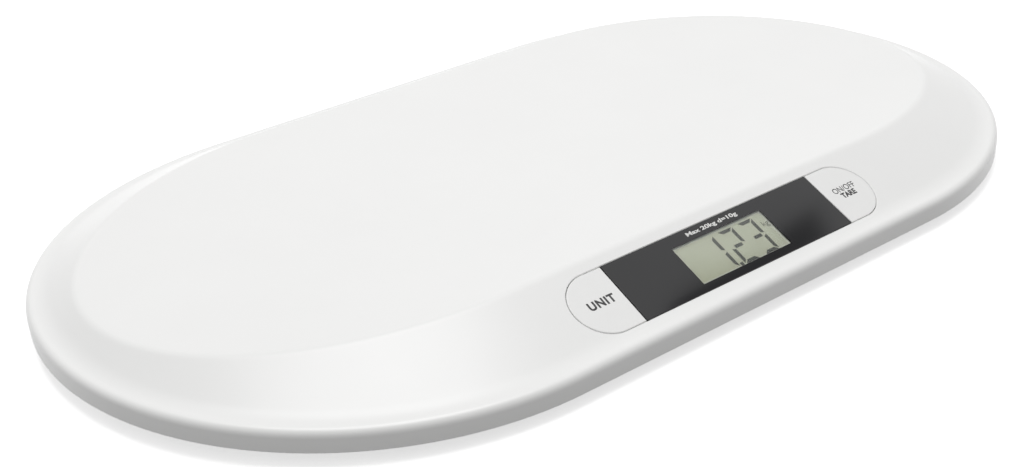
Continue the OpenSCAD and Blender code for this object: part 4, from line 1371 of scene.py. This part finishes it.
@dataclass(frozen=True)
class PhotoCamera:
    """The camera that was fitted to the photograph."""

    azimuth: float = -32.0058
    elevation: float = 27.6169
    roll: float = -5.5970
    right: float = 62.7595
    up: float = 31.3937
    distance: float = 706.1893
    focal_px: float = 1310.4054
    shift_px: Pair = (90.418, 11.012)
    width_px: int = 1024
    ground: float = 6.0
    sensor: float = 36.0
    clip: Pair = (0.02, 30.0)

    def build(self) -> Object:
        """Place the camera and frame the photograph's view."""
        azimuth, elevation, roll = (math.radians(v) for v in (self.azimuth, self.elevation, self.roll))
        flat = math.cos(elevation)
        back = Vector((math.sin(azimuth) * flat, -math.cos(azimuth) * flat, math.sin(elevation)))
        level = Vector((math.cos(azimuth), math.sin(azimuth), 0))
        upright = back.cross(level)
        across = level * math.cos(roll) + upright * math.sin(roll)
        upwards = upright * math.cos(roll) - level * math.sin(roll)
        eye = (back * self.distance - across * self.right - upwards * self.up) * MM
        eye.z += self.ground * MM
        data = bpy.data.cameras.new("photo_camera")
        data.sensor_width = self.sensor
        data.lens = self.focal_px * self.sensor / self.width_px
        data.shift_x, data.shift_y = (shift / self.width_px for shift in self.shift_px)
        data.clip_start, data.clip_end = self.clip
        camera = bpy.data.objects.new("photo_camera", data)
        bpy.context.scene.collection.objects.link(camera)
        turn = Matrix((across, upwards, back)).transposed().to_4x4()
        camera.matrix_world = Matrix.Translation(eye) @ turn
        bpy.context.scene.camera = camera
        return camera


@dataclass(frozen=True)
class Softbox:
    """A square area lamp that looks at one point."""

    name: str
    place: Place
    size: float
    power: float
    target: Place = (0.0, 0.0, 0.0)

    def build(self) -> Object:
        """Hang the lamp and turn it to its target."""
        data = bpy.data.lights.new(self.name, "AREA")
        data.shape = "SQUARE"
        data.size = self.size
        data.energy = self.power
        lamp = bpy.data.objects.new(self.name, data)
        bpy.context.scene.collection.objects.link(lamp)
        aim = Vector(self.place) - Vector(self.target)
        lamp.matrix_world = Matrix.Translation(self.place) @ aim.to_track_quat("Z", "Y").to_matrix().to_4x4()
        return lamp


@dataclass(frozen=True)
class BlackCard:
    """A photographer's black card, which only mirrors and glossy faces show."""

    name: str = "black_card"
    place: Place = (1.01, -0.17, 1.2)
    length: float = 0.36
    width: float = 0.07
    turn: float = 7.0
    colour: str = "#050505"

    def build(self) -> Object:
        """Hang the card level, out of the lamp's way."""
        bpy.ops.mesh.primitive_plane_add(size=1.0, location=(0, 0, 0))
        card = primitive(self.name)
        card.data.transform(
            Matrix.Translation(self.place)
            @ Matrix.Rotation(math.radians(self.turn), 4, "Z")
            @ Matrix.Diagonal((self.length, self.width, 1, 1))
        )
        mix = Mix.named("black_velvet")
        card.data.materials.append(mix.done(mix.node("BsdfDiffuse", {"Color": linear(self.colour)})))
        for kind in ("camera", "diffuse", "transmission", "shadow"):
            setattr(card, "visible_" + kind, False)
        return card


@dataclass
class Studio:
    """A white table under one large soft lamp."""

    lamp: Softbox = Softbox("overhead_box", (0.0, 0.1, 1.5), 1.0, 12.8)
    floor_size: float = 12.0
    floor_colour: str = "#8F8F8F"
    seen_colour: str = "#F2F2F2"
    seen_lift: float = 0.62
    sky: float = 0.45

    def build(self) -> None:
        """Set up the camera, hang the lamp and the card, lay the floor and light the room."""
        PhotoCamera().build()
        self.lamp.build()
        BlackCard().build()
        self.lay_floor()
        self.light_room()
        bpy.context.scene.view_settings.view_transform = "Standard"

    def lay_floor(self) -> None:
        """Lay a pale floor that keeps the shadow, is white where it is lit and is clear from below."""
        bpy.ops.mesh.primitive_plane_add(size=self.floor_size, location=(0, 0, 0))
        floor = primitive("studio_floor")
        mix = Mix.named("matt_studio_floor")
        lit = mix.node("BsdfDiffuse", {"Color": linear(self.seen_colour)})
        lift = mix.node("Emission", {"Color": WHITE, "Strength": self.seen_lift})
        seen = mix.node("AddShader", {0: lit.outputs[0], 1: lift.outputs[0]})
        plain = mix.node("BsdfDiffuse", {"Color": linear(self.floor_colour)})
        sheet = mix.blend(direct_rays(mix.tree), plain, seen)
        below = mix.node("NewGeometry").outputs["Backfacing"]
        floor.data.materials.append(mix.done(mix.blend(below, sheet, mix.node("BsdfTransparent"))))

    def light_room(self) -> None:
        """Give the room a dim even light, and white where it is seen or mirrored."""
        world = bpy.data.worlds.new("white_room")
        bpy.context.scene.world = world
        world.use_nodes = True
        tree = world.node_tree
        tree.nodes.clear()
        levels = {"Value": direct_rays(tree), "To Min": self.sky, "To Max": 1.0}
        strength = add_node(tree, "MapRange", levels)
        room = add_node(tree, "Background", {"Color": WHITE, "Strength": strength.outputs["Result"]})
        add_node(tree, "OutputWorld", {"Surface": room.outputs[0]})


def main() -> None:
    """Set up the studio, then build the scale piece by piece."""
    logging.basicConfig(level=logging.INFO, format="%(message)s")
    finishes = Finishes()
    panel = PanelPlace()
    Studio().build()
    tray = Tray(finishes)
    tray.build(panel)
    keys, domes = Keys(panel, finishes), Domes(panel, finishes)
    for push in (UNIT, TARE):
        keys.build(push)
        domes.build(push)
    window = Window(panel, finishes)
    window.build_lens()
    window.dress_display()
    letters = Lettering(panel, finishes)
    for word in WORDS:
        letters.build(word)
    Feet(finishes).build()
    CaseScrews(finishes, tray.case_screws).build()
    Workings(finishes).build()


if __name__ == "__main__":
    main()
